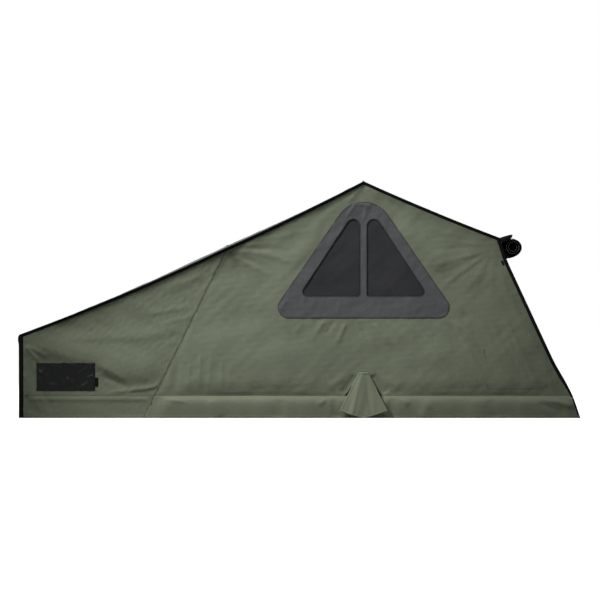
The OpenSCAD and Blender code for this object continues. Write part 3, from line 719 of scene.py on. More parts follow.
class Cutting:
    """Faces of one piece of the tent, gathered before they become an object."""

    def __init__(self) -> None:
        """Starts with no faces."""
        self.places: list[Array] = []
        self.maps: list[Array] = []
        self.faces: list[tuple[int, ...]] = []
        self.count = 0

    def add(self, places: Array, faces: Iterable[Sequence[int]], maps: Array) -> None:
        """Adds faces over new points.

        Args:
            places: Points in space.
            faces: Rows of indices into the points.
            maps: Flat coordinates of the points, in metres.
        """
        self.places.append(np.asarray(places, float))
        self.maps.append(np.asarray(maps, float))
        self.faces.extend(tuple(int(i) + self.count for i in face) for face in faces)
        self.count += len(places)

    def grid(self, places: Array, maps: Array, turned: bool = False, closed: bool = False) -> None:
        """Adds a grid of four-sided faces.

        Args:
            places: Points in rows, of shape (rows, columns, 3).
            maps: Flat coordinates, of shape (rows, columns, 2).
            turned: Whether the faces look the other way.
            closed: Whether the last row joins the first.
        """
        rows, columns = places.shape[:2]
        faces = []
        for i in range(rows if closed else rows - 1):
            a, b = i * columns, (i + 1) % rows * columns
            for j in range(columns - 1):
                face = (a + j, a + j + 1, b + j + 1, b + j)
                faces.append(face[::-1] if turned else face)
        self.add(places.reshape(-1, 3), faces, maps.reshape(-1, 2))

    def cover(self, face: Surface, across: Array, along: Array) -> "Cutting":
        """Adds a grid over a face that is turned.

        Args:
            face: Face that the grid lies on.
            across: Flat coordinates of its columns.
            along: Flat coordinates of its rows.

        Returns:
            This cutting.
        """
        flat = np.stack(np.meshgrid(across, along), axis=2)
        self.grid(face.place(flat.reshape(-1, 2)).reshape(*flat.shape[:2], 3), flat, True)
        return self

    def panel(
        self, face: Surface, outline: Path, step: float,
        holes: Sequence[Path] = (), lift: float = 0.0,
    ) -> "Cutting":
        """Adds a fine net of triangles over a flat cut with holes.

        Args:
            face: Face that the cut lies on.
            outline: Closed outline of the cut.
            step: Distance between the net's points.
            holes: Closed outlines cut out of it.
            lift: Distance above the face.

        Returns:
            This cutting.
        """
        rims = [resampled(ring, step, closed=True) for ring in (outline, *holes)]
        low, high = rims[0].min(axis=0), rims[0].max(axis=0)
        rows, edges, start = [], [], 0
        for i, z in enumerate(np.arange(low[1], high[1], step * math.sqrt(0.75))):
            xs = np.arange(low[0] + (i % 2) * step / 2.0, high[0], step)
            rows.append(np.column_stack([xs, np.full(len(xs), z)]))
        net = np.vstack(rows)
        net = net[within(net, rims)]
        for rim in rims:
            net = net[distance_to(net, rim) > 0.45 * step]
            size = len(rim)
            edges.extend((start + i, start + (i + 1) % size) for i in range(size))
            start += size
        flat = [Vector(p) for p in np.vstack([*rims, net])]
        points, _, triangles, _, _, _ = delaunay_2d_cdt(flat, edges, [], 0, 1e-7)
        flat, faces = np.array([tuple(p) for p in points]), np.array(triangles)
        faces = faces[within(flat[faces].mean(axis=1), rims)]
        ab, ac = (flat[faces[:, k]] - flat[faces[:, 0]] for k in (1, 2))
        flip = (ab[:, 0] * ac[:, 1] - ab[:, 1] * ac[:, 0] < 0.0) != face.turned
        faces[flip] = faces[flip][:, ::-1]
        self.add(face.place(flat, lift), faces, flat)
        return self

    def tape(
        self, face: Surface, path: Path, section: Path, closed: bool = False
    ) -> None:
        """Adds a strip along a path on a face.

        Args:
            face: Face that the strip lies on.
            path: Path of the strip, in flat points.
            section: Offsets to the left of the path, each with its lift.
            closed: Whether the path closes.
        """
        points = resampled(path, 0.012, closed)
        left, along = path_normals(points, closed), travelled(points)
        places = np.stack([face.place(points + left * offset, lift) for offset, lift in section], axis=1)
        maps = [np.column_stack([along, np.full(len(points), offset)]) for offset, _ in section]
        upwards = section[-1][0] > section[0][0]
        self.grid(places, np.stack(maps, axis=1), face.turned == upwards, closed)

    def stitches(
        self, face: Surface, path: Path, offset: float = 0.0,
        closed: bool = False, pitch: float = 0.009, lift: float = 0.0004,
    ) -> None:
        """Adds a row of small raised stitches along a path on a face.

        Args:
            face: Face that the stitches lie on.
            path: Path of the row, in flat points.
            offset: Distance of the row to the left of the path.
            closed: Whether the path closes.
            pitch: Distance between two stitches.
            lift: Distance of the row above the face.
        """
        points = resampled(path, pitch, closed)
        left = path_normals(points, closed)
        line = points + left * offset
        ahead = np.roll(line, -1, axis=0) - line if closed else np.gradient(line, axis=0)
        ahead /= np.maximum(norm(ahead, axis=1), 1e-9)[:, None]
        if not closed:
            line, left, ahead = line[1:-1], left[1:-1], ahead[1:-1]
        half, thick = 0.0030, 0.0006
        corners = (
            (line - ahead * half, lift - 0.0004), (line - left * thick, lift),
            (line + ahead * half, lift - 0.0004), (line + left * thick, lift), (line, lift + thick),
        )
        places = np.stack([face.place(*corner) for corner in corners], axis=1).reshape(-1, 3)
        rims = ((0, 1), (1, 2), (2, 3), (3, 0))
        faces = [
            (k + b, k + a, k + 4) if face.turned else (k + a, k + b, k + 4)
            for k in range(0, 5 * len(line), 5)
            for a, b in rims
        ]
        self.add(places, faces, places[:, :2])

    def make(self, name: str, thickness: float = 0.0) -> bpy.types.Object:
        """Makes the object.

        Args:
            name: Name of the piece.
            thickness: Thickness of its cloth, added on the inner side, or 0.

        Returns:
            The new object, in the scene.
        """
        mesh = bpy.data.meshes.new(name)
        mesh.from_pydata(np.vstack(self.places).tolist(), [], self.faces)
        corners = np.zeros(len(mesh.loops), np.int32)
        mesh.loops.foreach_get("vertex_index", corners)
        flat = np.vstack(self.maps)[corners].astype(np.float32)
        mesh.uv_layers.new(name="cloth").data.foreach_set("uv", flat.ravel())
        mesh.polygons.foreach_set("use_smooth", np.ones(len(mesh.polygons), bool))
        mesh.update()
        obj = new_object(name, mesh)
        if thickness > 0.0:
            solid = obj.modifiers.new("thickness", "SOLIDIFY")
            solid.thickness, solid.offset = thickness, -1.0
        return obj


def path_normals(points: Array, closed: bool) -> Array:
    """Left-hand normals of a path, long enough at its bends to keep a strip's width.

    Args:
        points: Points of the path.
        closed: Whether the last point joins the first.

    Returns:
        A normal at each point.
    """
    ahead = (np.roll(points, -1, axis=0) if closed else np.vstack([points[1:], points[-1:]])) - points
    behind = points - (np.roll(points, 1, axis=0) if closed else np.vstack([points[:1], points[:-1]]))
    if not closed:
        ahead[-1], behind[0] = behind[-1], ahead[0]
    u, v = (w / np.maximum(norm(w, axis=1), 1e-9)[:, None] for w in (ahead, behind))
    mid = u + v
    mid /= np.maximum(norm(mid, axis=1), 1e-9)[:, None]
    stretch = 1.0 / np.maximum(np.sum(mid * u, axis=1), 0.6)
    return np.column_stack([-mid[:, 1], mid[:, 0]]) * stretch[:, None]


# ---- shader building


def paint(red: int, green: int, blue: int) -> Colour:
    """Linear colour of a screen colour from 0 to 255."""
    return tuple(
        c / 12.92 if c <= 0.04045 else ((c + 0.055) / 1.055) ** 2.4
        for c in (red / 255.0, green / 255.0, blue / 255.0)
    )


class NodeSketch:
    """Short words for building a node tree."""

    def __init__(self, tree: Tree) -> None:
        """Works on a tree."""
        self.tree = tree

    def add(self, kind: str, **settings: object) -> Node:
        """Adds a node and sets its properties."""
        node = self.tree.nodes.new(kind)
        for key, value in settings.items():
            setattr(node, key, value)
        return node

    def set(self, node: Node, **values: object) -> Node:
        """Writes constants on a node's inputs, named with underscores for their spaces."""
        for name, value in values.items():
            node.inputs[name.replace("_", " ")].default_value = value
        return node

    def feed(self, value: Value, socket: Socket) -> None:
        """Links a socket to another, or writes a number on it."""
        if isinstance(value, Socket):
            self.tree.links.new(value, socket)
        else:
            socket.default_value = value

    def result(self, kind: str, *values: Value, **settings: object) -> Socket:
        """First output of a new node whose first inputs are fed with values."""
        node = self.add(kind, **settings)
        for value, socket in zip(values, node.inputs):
            self.feed(value, socket)
        return node.outputs[0]

    def math(self, operation: str, a: Value, b: Value = 0.0) -> Socket:
        """Result of a sum of two values."""
        return self.result("ShaderNodeMath", a, b, operation=operation)

    def place(self, kind: str = "Object") -> Socket:
        """Texture coordinates of a kind."""
        return self.add("ShaderNodeTexCoord").outputs[kind]

    def stretched(self, place: Value, by: Value | Colour) -> Socket:
        """A place with each coordinate multiplied by a number of its own."""
        return self.result("ShaderNodeVectorMath", place, by, operation="MULTIPLY")

    def spread(self, value: Value, low: float, high: float, to_low: float, to_high: float) -> Socket:
        """A value mapped from one range to another, and kept in it."""
        return self.result("ShaderNodeMapRange", value, low, high, to_low, to_high, clamp=True)

    def blend(self, factor: Value, a: Value | Colour, b: Value | Colour) -> Socket:
        """A colour between a and b."""
        node = self.add("ShaderNodeMix", data_type="RGBA")
        self.feed(factor, node.inputs[0])
        for value, socket in ((a, node.inputs[6]), (b, node.inputs[7])):
            self.feed((*value, 1.0) if isinstance(value, tuple) else value, socket)
        return node.outputs[2]

    def noise(self, vector: Value, scale: Value, detail: float, rough: float = 0.5) -> Socket:
        """Noise from 0 to 1."""
        node = self.set(self.add("ShaderNodeTexNoise"), Detail=detail, Roughness=rough)
        self.feed(vector, node.inputs["Vector"])
        self.feed(scale, node.inputs["Scale"])
        return node.outputs["Fac"]

    def bump(
        self, height: Value, distance: float, strength: float, under: Value | None = None
    ) -> Socket:
        """Normal of a bump.

        Args:
            height: Height of the bump, from 0 to 1.
            distance: Size of the bump, in metres.
            strength: Share of it that shows.
            under: Normal of what the bump lies on.

        Returns:
            The normal.
        """
        node = self.set(self.add("ShaderNodeBump"), Distance=distance, Strength=strength)
        self.feed(height, node.inputs["Height"])
        if under is not None:
            self.feed(under, node.inputs["Normal"])
        return node.outputs["Normal"]


class Effect(Enum):
    """Node groups that several finishes share."""

    WEAVE = "woven_threads"
    CREASES = "fine_creases"
    DUST = "settled_dust"
    FADING = "sun_fading"
    SCRATCHES = "handling_scratches"


class EffectRack:
    """Builds each shared node group once."""

    def __init__(self) -> None:
        """Starts with no groups."""
        self.groups: dict[Effect, Tree] = {}

    def use(self, sketch: NodeSketch, effect: Effect, **values: float) -> Node:
        """Places an effect in a material, with its own values."""
        if effect not in self.groups:
            self.groups[effect] = getattr(self, effect.name.lower())()
        return sketch.set(sketch.add("ShaderNodeGroup", node_tree=self.groups[effect]), **values)

    @staticmethod
    def begin(
        effect: Effect, inputs: dict[str, float], outputs: Sequence[str]
    ) -> tuple[NodeSketch, Node, Node]:
        """Opens a group.

        Args:
            effect: Effect that the group makes.
            inputs: Names of its inputs, with their usual values.
            outputs: Names of its outputs.

        Returns:
            The sketch of its tree, its input node and its output node.
        """
        tree = bpy.data.node_groups.new(effect.value, "ShaderNodeTree")
        for name, usual in inputs.items():
            socket = tree.interface.new_socket(name=name, in_out="INPUT", socket_type="NodeSocketFloat")
            socket.default_value = usual
        for name in outputs:
            tree.interface.new_socket(name=name, in_out="OUTPUT", socket_type="NodeSocketFloat")
        sketch = NodeSketch(tree)
        return sketch, sketch.add("NodeGroupInput"), sketch.add("NodeGroupOutput")

    def weave(self) -> Tree:
        """Plain weave from flat coordinates in metres."""
        sketch, given, result = self.begin(Effect.WEAVE, {"Threads per metre": 900.0}, ("Height", "Shade"))
        split = sketch.add("ShaderNodeSeparateXYZ")
        sketch.feed(sketch.place("UV"), split.inputs[0])
        turns = sketch.math("MULTIPLY", given.outputs[0], math.pi)
        warp, weft = (
            sketch.math("SINE", sketch.math("MULTIPLY", split.outputs[k], turns)) for k in (0, 1)
        )
        slubs = sketch.noise(sketch.place("UV"), 160.0, 3.0, 0.7)
        over = sketch.math("MULTIPLY", warp, weft)
        height = sketch.math("ADD", sketch.math("MULTIPLY", over, 0.5), slubs)
        sketch.feed(height, result.inputs["Height"])
        sketch.feed(sketch.spread(height, 0.2, 0.9, 0.0, 1.0), result.inputs["Shade"])
        return sketch.tree

    def creases(self) -> Tree:
        """Small soft creases of cloth that was packed away."""
        sketch, given, result = self.begin(Effect.CREASES, {"Scale": 9.0, "Stretch": 2.2}, ("Height",))
        place = sketch.place()
        stretch = sketch.result("ShaderNodeCombineXYZ", given.outputs["Stretch"], 1.0, 1.0)
        bend = sketch.noise(place, 3.0, 2.0)
        scaled = sketch.stretched(place, stretch)
        moved = sketch.result("ShaderNodeVectorMath", scaled, bend, operation="ADD")
        wide = sketch.noise(moved, given.outputs["Scale"], 3.0, 0.55)
        ridge = sketch.math("ABSOLUTE", sketch.math("SUBTRACT", wide, 0.5))
        sketch.feed(sketch.spread(ridge, 0.0, 0.22, 1.0, 0.0), result.inputs["Height"])
        return sketch.tree

    def dust(self) -> Tree:
        """Dust that lies thicker on faces that look up and near the ground."""
        sketch, given, result = self.begin(Effect.DUST, {"Amount": 0.2}, ("Mask",))
        patchy = sketch.spread(sketch.noise(sketch.place(), 4.0, 5.0, 0.65), 0.42, 0.72, 0.0, 1.0)
        height, normal = (sketch.add("ShaderNodeSeparateXYZ") for _ in range(2))
        sketch.feed(sketch.place(), height.inputs[0])
        sketch.feed(sketch.add("ShaderNodeNewGeometry").outputs["Normal"], normal.inputs[0])
        low = sketch.spread(height.outputs[2], 0.0, 0.18, 0.8, 0.0)
        up = sketch.spread(normal.outputs[2], 0.35, 1.0, 0.0, 0.7)
        lying = sketch.math("ADD", sketch.math("ADD", up, low), 0.25)
        mask = sketch.math("MULTIPLY", sketch.math("MULTIPLY", patchy, lying), given.outputs[0])
        sketch.feed(mask, result.inputs["Mask"])
        return sketch.tree

    def fading(self) -> Tree:
        """Broad uneven fading of dyed cloth."""
        sketch, given, result = self.begin(Effect.FADING, {"Scale": 2.4}, ("Mask",))
        broad = sketch.noise(sketch.place(), given.outputs[0], 4.0, 0.6)
        fine = sketch.noise(sketch.place(), 60.0, 3.0, 0.6)
        both = sketch.math("ADD", sketch.math("MULTIPLY", broad, 0.8), sketch.math("MULTIPLY", fine, 0.2))
        sketch.feed(sketch.spread(both, 0.36, 0.64, 0.0, 1.0), result.inputs["Mask"])
        return sketch.tree

    def scratches(self) -> Tree:
        """Fine marks of handling on metal and board."""
        sketch, given, result = self.begin(Effect.SCRATCHES, {"Scale": 14.0}, ("Mask",))
        marks = sketch.noise(sketch.stretched(sketch.place(), (1.0, 9.0, 7.0)), given.outputs[0], 6.0, 0.75)
        sketch.feed(sketch.spread(marks, 0.42, 0.62, 0.0, 1.0), result.inputs["Mask"])
        return sketch.tree

    def dusty(self, sketch: NodeSketch, shader: Node, tone: Value, amount: float) -> None:
        """Lays dust over a tone, and gives the result to a shader as its colour."""
        mask = self.use(sketch, Effect.DUST, Amount=amount).outputs["Mask"]
        sketch.feed(sketch.blend(mask, tone, DUST_TONE), shader.inputs["Base Color"])


DUST_TONE = paint(150, 144, 126)


def new_material(name: str) -> tuple[bpy.types.Material, NodeSketch, Node]:
    """A new material, with the sketch of its tree and its Principled shader."""
    material = bpy.data.materials.new(name)
    material.use_nodes = True
    shader = next(n for n in material.node_tree.nodes if n.type == "BSDF_PRINCIPLED")
    return material, NodeSketch(material.node_tree), shader


@dataclass(frozen=True)
class ClothFinish:
    """A woven cloth, tape or mesh."""

    slot: str
    colour: Colour
    faded: Colour
    roughness: float = 0.85
    threads: float = 900.0
    weave_depth: float = 0.0004
    crease_depth: float = 0.0004
    crease_scale: float = 9.0
    dust: float = 0.05
    specular: float = 0.08

    def build(self, rack: EffectRack, name: str) -> bpy.types.Material:
        """Builds the material.

        Args:
            rack: Rack of the shared effects.
            name: Name of the material.

        Returns:
            The material.
        """
        material, sketch, shader = new_material(name)
        weave = rack.use(sketch, Effect.WEAVE, Threads_per_metre=self.threads)
        creases = rack.use(sketch, Effect.CREASES, Scale=self.crease_scale)
        fading = rack.use(sketch, Effect.FADING).outputs["Mask"]
        dyed = sketch.blend(fading, self.colour, self.faded)
        # Low places of the weave turn towards a darker tone: painted shade between the threads
        threads = sketch.math("MULTIPLY", sketch.math("SUBTRACT", 1.0, weave.outputs["Shade"]), 0.35)
        deep = tuple(0.82 * c for c in self.colour)
        rack.dusty(sketch, shader, sketch.blend(threads, dyed, deep), self.dust)
        rough = sketch.spread(fading, 0.0, 1.0, self.roughness - 0.05, self.roughness + 0.05)
        sketch.feed(rough, shader.inputs["Roughness"])
        fine = sketch.bump(weave.outputs["Height"], self.weave_depth, 0.6)
        broad = sketch.bump(creases.outputs["Height"], self.crease_depth, 0.7, fine)
        sketch.feed(broad, shader.inputs["Normal"])
        sketch.set(shader, Specular_IOR_Level=self.specular)
        return material


@dataclass(frozen=True)
class MetalFinish:
    """Bare or anodised metal."""

    slot: str
    colour: Colour
    worn: Colour
    roughness: float = 0.35
    marks: float = 14.0

    def build(self, rack: EffectRack, name: str) -> bpy.types.Material:
        """Builds the material.

        Args:
            rack: Rack of the shared effects.
            name: Name of the material.

        Returns:
            The material.
        """
        material, sketch, shader = new_material(name)
        marks = rack.use(sketch, Effect.SCRATCHES, Scale=self.marks).outputs["Mask"]
        rack.dusty(sketch, shader, sketch.blend(marks, self.colour, self.worn), 0.15)
        rough = sketch.spread(marks, 0.0, 1.0, self.roughness, self.roughness + 0.16)
        sketch.feed(rough, shader.inputs["Roughness"])
        sketch.set(shader, Metallic=1.0)
        sketch.feed(sketch.bump(marks, 0.0002, 0.3), shader.inputs["Normal"])
        return material


@dataclass(frozen=True)
class BoardFinish:
    """Varnished plywood."""

    slot: str
    light: Colour
    dark: Colour

    def build(self, rack: EffectRack, name: str) -> bpy.types.Material:
        """Builds the material.

        Args:
            rack: Rack of the shared effects.
            name: Name of the material.

        Returns:
            The material.
        """
        material, sketch, shader = new_material(name)
        grain = sketch.noise(sketch.stretched(sketch.place(), (1.2, 14.0, 14.0)), 4.0, 8.0, 0.62)
        mask = sketch.spread(grain, 0.35, 0.65, 0.0, 1.0)
        rack.dusty(sketch, shader, sketch.blend(mask, self.light, self.dark), 0.2)
        marks = rack.use(sketch, Effect.SCRATCHES, Scale=9.0).outputs["Mask"]
        sketch.feed(sketch.spread(marks, 0.0, 1.0, 0.42, 0.6), shader.inputs["Roughness"])
        sketch.feed(sketch.bump(grain, 0.0004, 1.0), shader.inputs["Normal"])
        return material


class Stuff(Enum):
    """What the pieces of the tent are made of."""

    OLIVE = "olive_canvas"
    # Darker strips along the seams and the pocket's slit: painted shade of their grooves
    SEAM = "painted_seam_shade_tape"
    ROOF = "charcoal_roof_cloth"
    MESH = "insect_mesh"
    FLAP = "black_flap_cloth"
    HEM = "flap_hem_tape"
    WEBBING = "black_webbing"
    COATING = "grey_coated_surround"
    EDGING = "dark_grey_edging"
    BINDING = "black_binding_tape"
    PATCH = "glossy_coated_patch"
    THREAD = "olive_sewing_thread"
    PALE_THREAD = "pale_sewing_thread"
    TUBE = "anodised_tube"
    CHANNEL = "base_channel_metal"
    STEEL = "hinge_leaf_steel"
    BOARD = "floor_board_ply"


FINISHES: dict[Stuff, ClothFinish | MetalFinish | BoardFinish] = {
    Stuff.OLIVE: ClothFinish("olive_cloth", paint(97, 103, 87), paint(101, 107, 91)),
    # Darker olive of the seam strips: painted shade of the seam grooves
    Stuff.SEAM: ClothFinish("olive_cloth", paint(80, 85, 71), paint(86, 91, 77)),
    Stuff.ROOF: ClothFinish("roof_cloth", paint(66, 68, 72), paint(72, 74, 78), roughness=0.7),
    Stuff.MESH: ClothFinish(
        "mesh_cloth", paint(43, 44, 45), paint(47, 47, 49), threads=640.0, weave_depth=0.0008,
        crease_depth=0.0002, specular=0.05,
    ),
    Stuff.FLAP: ClothFinish("flap_cloth", paint(17, 17, 18), paint(23, 23, 24), dust=0.03, specular=0.05),
    Stuff.HEM: ClothFinish("flap_cloth", paint(84, 84, 87), paint(96, 96, 98), dust=0.03, specular=0.05),
    Stuff.WEBBING: ClothFinish(
        "webbing", paint(18, 18, 19), paint(24, 24, 25), threads=420.0, weave_depth=0.0008, dust=0.03,
        specular=0.05,
    ),
    Stuff.COATING: ClothFinish(
        "window_coating", paint(62, 63, 65), paint(66, 67, 69), roughness=0.40, weave_depth=0.0001,
        crease_depth=0.0010, crease_scale=14.0, specular=0.22,
    ),
    Stuff.EDGING: ClothFinish("window_coating", paint(50, 51, 53), paint(56, 57, 59), specular=0.1),
    Stuff.BINDING: ClothFinish(
        "binding_tape", paint(14, 14, 14), paint(18, 18, 18), threads=620.0, dust=0.03, specular=0.04
    ),
    Stuff.PATCH: ClothFinish(
        "coated_patch", paint(10, 11, 11), paint(13, 14, 14), roughness=0.44, weave_depth=0.00003,
        crease_depth=0.0010, crease_scale=12.0, dust=0.01, specular=0.11,
    ),
    Stuff.THREAD: ClothFinish("olive_cloth", paint(84, 89, 75), paint(90, 95, 81)),
    Stuff.PALE_THREAD: ClothFinish("olive_cloth", paint(176, 178, 166), paint(196, 196, 188)),
    Stuff.TUBE: MetalFinish("tube_aluminium", (0.74, 0.75, 0.76), (0.62, 0.63, 0.65), 0.3),
    Stuff.CHANNEL: MetalFinish("frame_aluminium", (0.70, 0.71, 0.72), (0.58, 0.59, 0.6), 0.4, 9.0),
    Stuff.STEEL: MetalFinish("hinge_steel", (0.55, 0.56, 0.57), (0.42, 0.42, 0.42), 0.38, 22.0),
    Stuff.BOARD: BoardFinish("floor_board", (0.62, 0.50, 0.34), (0.44, 0.33, 0.2)),
}


class Workshop:
    """Builds the materials and turns cuttings into pieces of the tent."""

    def __init__(self) -> None:
        """Builds every material once."""
        rack = EffectRack()
        self.materials = {stuff: f.build(rack, stuff.value) for stuff, f in FINISHES.items()}

    def dress(self, obj: bpy.types.Object, stuff: Stuff, replaces: Sequence[str] = ()) -> bpy.types.Object:
        """Gives a piece its finish, its place on the frame and the nodes it stands for.

        Args:
            obj: The piece.
            stuff: What it is made of.
            replaces: Nodes of the frame that it stands for.

        Returns:
            The piece.
        """
        obj.data.materials.clear()
        obj.data.materials.append(self.materials[stuff])
        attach(obj, BODY)
        if replaces:
            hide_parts(*replaces)
        LOG.info("%s: %d faces of %s", obj.name, len(obj.data.polygons), stuff.value)
        return obj

    def sheet(
        self, cutting: Cutting, name: str, node: str, held: Held, rests_on: Sequence[str],
        flat: Point, area: float | None = None, stuff: Stuff = Stuff.OLIVE, thickness: float = CLOTH_T,
    ) -> None:
        """Args:
            cutting: Its faces.
            name: Name of the piece.
            node: Node of the frame that it stands for.
            held: How it is held; not used.
            rests_on: What it lies or hangs on.
            flat: Width and length that it was cut to; not used.
            area: Its flat area, where that isn't the width by the length; not used.
            stuff: What it is made of.
            thickness: Thickness of the cloth.
        """
        piece = self.dress(cutting.make(name, thickness), stuff, [node])
        list(rests_on)


def flat_cut(outline: Path, holes: Sequence[Path] = ()) -> tuple[Point, float]:
    """Size and area of a flat cut.

    Args:
        outline: Closed outline of the cut.
        holes: Closed outlines cut out of it.

    Returns:
        Width and length of the smallest upright rectangle round it, and its area.
    """
    ring = np.array(outline)
    width, length = ring.max(axis=0) - ring.min(axis=0)
    return (float(width), float(length)), total_area([outline]) - total_area(holes)


def total_area(rings: Iterable[Path]) -> float:
    """Area of closed outlines together."""
    return sum(abs(shoelace(np.array(ring))) for ring in rings)


# ---- folds seen on the tent


CABIN_FOLDS: tuple[Relief, ...] = (
    *folds(
        # Fan under the ridge
        (-10, 1275, -100, 1175, 28, 10, 18), (10, 1275, 120, 1185, 28, 10, 18),
        (-30, 1262, -340, 1070, -22, 12, 24, 30, 50), (50, 1250, 380, 1040, -22, 12, 24, 30, 50),
        (180, 1100, 520, 760, 120, 45, 60, 25, 35), (-200, 1080, -460, 760, 33, 30, 50, 30, 40),
        # Fan of the left bow's corner
        (-735, 925, -340, 842, 33, 11, 20, 45, 30, -527, 902), (-700, 938, -340, 925, -19, 10, 14, 40, 35),
        (-742, 918, -460, 762, 25, 10, 18, 40, 30, -648, 852), (-740, 910, -480, 820, -16, 10, 15, 40, 35),
        (-745, 905, -580, 700, -13, 10, 15, 20, 50), (-748, 900, -660, 690, 14, 10, 16, 20, 50),
        (-600, 975, -220, 1045, 14, 12, 20, 30, 45), (-690, 945, -400, 985, 14, 10, 15, 30, 45),
        # Fan of the right bow's corner
        (700, 930, 340, 826, 25, 10, 18, 30, 30), (700, 920, 400, 702, 23, 10, 18, 30, 30),
        (690, 915, 370, 765, -14, 10, 16, 35, 35), (680, 945, 320, 922, -16, 10, 16, 35, 35),
        (680, 955, 380, 985, 16, 10, 16, 30, 40), (690, 890, 450, 715, -14, 10, 16, 35, 40),
        (700, 900, 540, 660, 14, 10, 16, 25, 45), (710, 895, 610, 620, -13, 10, 16, 25, 45),
        (720, 890, 700, 600, 13, 11, 18, 25, 45), (620, 985, 260, 1060, 14, 12, 20, 30, 45),
        # Pulls under the window
        (-95, 528, -158, 385, 45, 11, 16, 15, 50), (-155, 540, -225, 440, -27, 10, 16, 15, 50),
        (-215, 538, -300, 400, 30, 11, 18, 15, 50), (-330, 535, -400, 440, 18, 10, 16, 15, 50),
        (55, 525, 165, 375, 36, 11, 18, 15, 45), (-20, 535, 30, 430, -21, 10, 14, 15, 50),
        (130, 540, 230, 420, 21, 10, 14, 15, 50), (230, 538, 300, 440, 18, 10, 14, 15, 50),
        (300, 505, 530, 140, 21, 12, 20, 30, 40), (255, 490, 420, 200, -18, 13, 22, 30, 50),
        (500, 545, 640, 368, 51, 11, 16, 20, 45), (470, 525, 575, 372, -27, 11, 16, 20, 45),
        (395, 535, 500, 400, 27, 10, 15, 20, 45),
    ),
    Bulge((0.560, 0.560), (0.030, 0.026), -0.004),
    # Long slack lines towards the right foot
    *(
        Fold(
            (0.46 + 0.075 * k, 0.60 + 0.03 * (k % 2)), (0.70 + 0.068 * k, 0.15),
            0.0026 * (1.0 - 1.7 * (k % 2)), 0.011, 0.016, 0.30, 0.35,
        )
        for k in range(6)
    ),
    *folds((715, 860, 1065, 140, 50, 20, 24, 20, 15)),
    # Upright swells near the canopy seam
    *(Fold((x, top), (x - 0.016, 0.135), height, 0.010, 0.013, 0.30, 0.35)
      for x, top, height in ((-0.955, 0.33, 0.0022), (-0.895, 0.39, 0.0026), (-0.840, 0.37, 0.0026),
                             (-0.775, 0.35, 0.002), (-0.725, 0.33, 0.0014))),
    *folds((-1025, 360, -1040, 150, -50, 24, 26, 30, 30)),
    *folds(
        # Cloth that stands out over the skirt's seam
        (-1160, 290, -60, 290, 180, 180, 180, 40, 40), (60, 290, 1100, 290, 150, 180, 180, 40, 30),
        (-1120, 195, -130, 195, 50, 50, 50, 5, 8), (130, 195, 1100, 195, 50, 50, 50, 8, 5),
        right=0.8,
    ),
    *folds(
        # Hollows beside the hood
        (-40, 240, -118, 130, -80, 14, 20, 20, 10), (42, 240, 122, 130, -100, 16, 26, 20, 10),
        (-90, 240, -210, 150, 35, 16, 26, 30, 30), (95, 235, 215, 150, 35, 16, 26, 30, 30),
    ),
    Bulge((-0.43, 0.66), (0.16, 0.12), 0.005),
    Ripples(0.0010, 0.20, 5),
    Ripples(0.0003, 0.045, 6),
)

CANOPY_FOLDS: tuple[Relief, ...] = (
    *folds(
        # Ridge from the hoop's corner to the foot of the seam, broad above and steep below
        (-1875, 428, -1112, 214, 170, 85, 100, 16, 16, -1663, 364, -1487, 322, -1410, 292, -1233, 244),
        right=0.6,
    ),
    *folds((-1700, 436, -955, 512, 35, 36, 44, 25, 25, -1400, 443, -1200, 446), right=0.55),
    *folds((-1250, 562, -900, 622, 20, 18, 26, 30, 30), right=0.6),
    *folds(
        (-1130, 515, -930, 565, 15, 12, 16, 30, 30), (-1100, 405, -1020, 420, 18, 12, 14, 30, 30),
    ),
    # Folds into the foot of the seam
    *folds((-1330, 146, -1105, 183, 60, 13, 17, 30, 10, -1192, 163), right=0.6),
    *folds(
        (-1420, 140, -1290, 150, 35, 10, 12, 30, 30), (-1475, 300, -1270, 190, 50, 16, 20, 25, 35),
        (-1450, 235, -1290, 165, -40, 13, 16, 25, 35),
        # Folds down from the hoop's corner
        (-1876, 380, -1713, 10, -60, 12, 16, 15, 15, -1812, 210, -1735, 80),
        (-1878, 270, -1785, 30, 60, 11, 16, 20, 20), (-1868, 405, -1785, 300, 65, 10, 14, 20, 30),
        (-1855, 400, -1720, 325, 50, 10, 16, 25, 40), (-1865, 130, -1830, 20, -55, 11, 14, 25, 25),
        # Slack under the roof's edge
        (-860, 800, -1150, 680, 35, 20, 32, 25, 40), (-1862, 104, -1175, 104, 40, 13, 13, 5, 5),
    ),
    Ripples(0.0010, 0.20, 21),
    Ripples(0.0003, 0.045, 22),
)


# ---- side walls


def tape_section(half: float, thick: float, shift: float = 0.0, lift: float = 0.0) -> tuple[Point, ...]:
    """Section of a flat tape with soft edges.

    Args:
        half: Half of its width.
        thick: Its thickness.
        shift: How far its middle lies to the left of its path.
        lift: How far it lies above its face.

    Returns:
        Offsets to the left, each with its height.
    """
    lip = min(0.0016, half / 2.0)
    section = (
        (-half, -0.0004), (-half + 0.0003, thick * 0.55), (-half + lip, thick), (0.0, thick * 1.08),
        (half - lip, thick), (half - 0.0003, thick * 0.55), (half, -0.0004),
    )
    return tuple((a + shift, b + lift) for a, b in section)


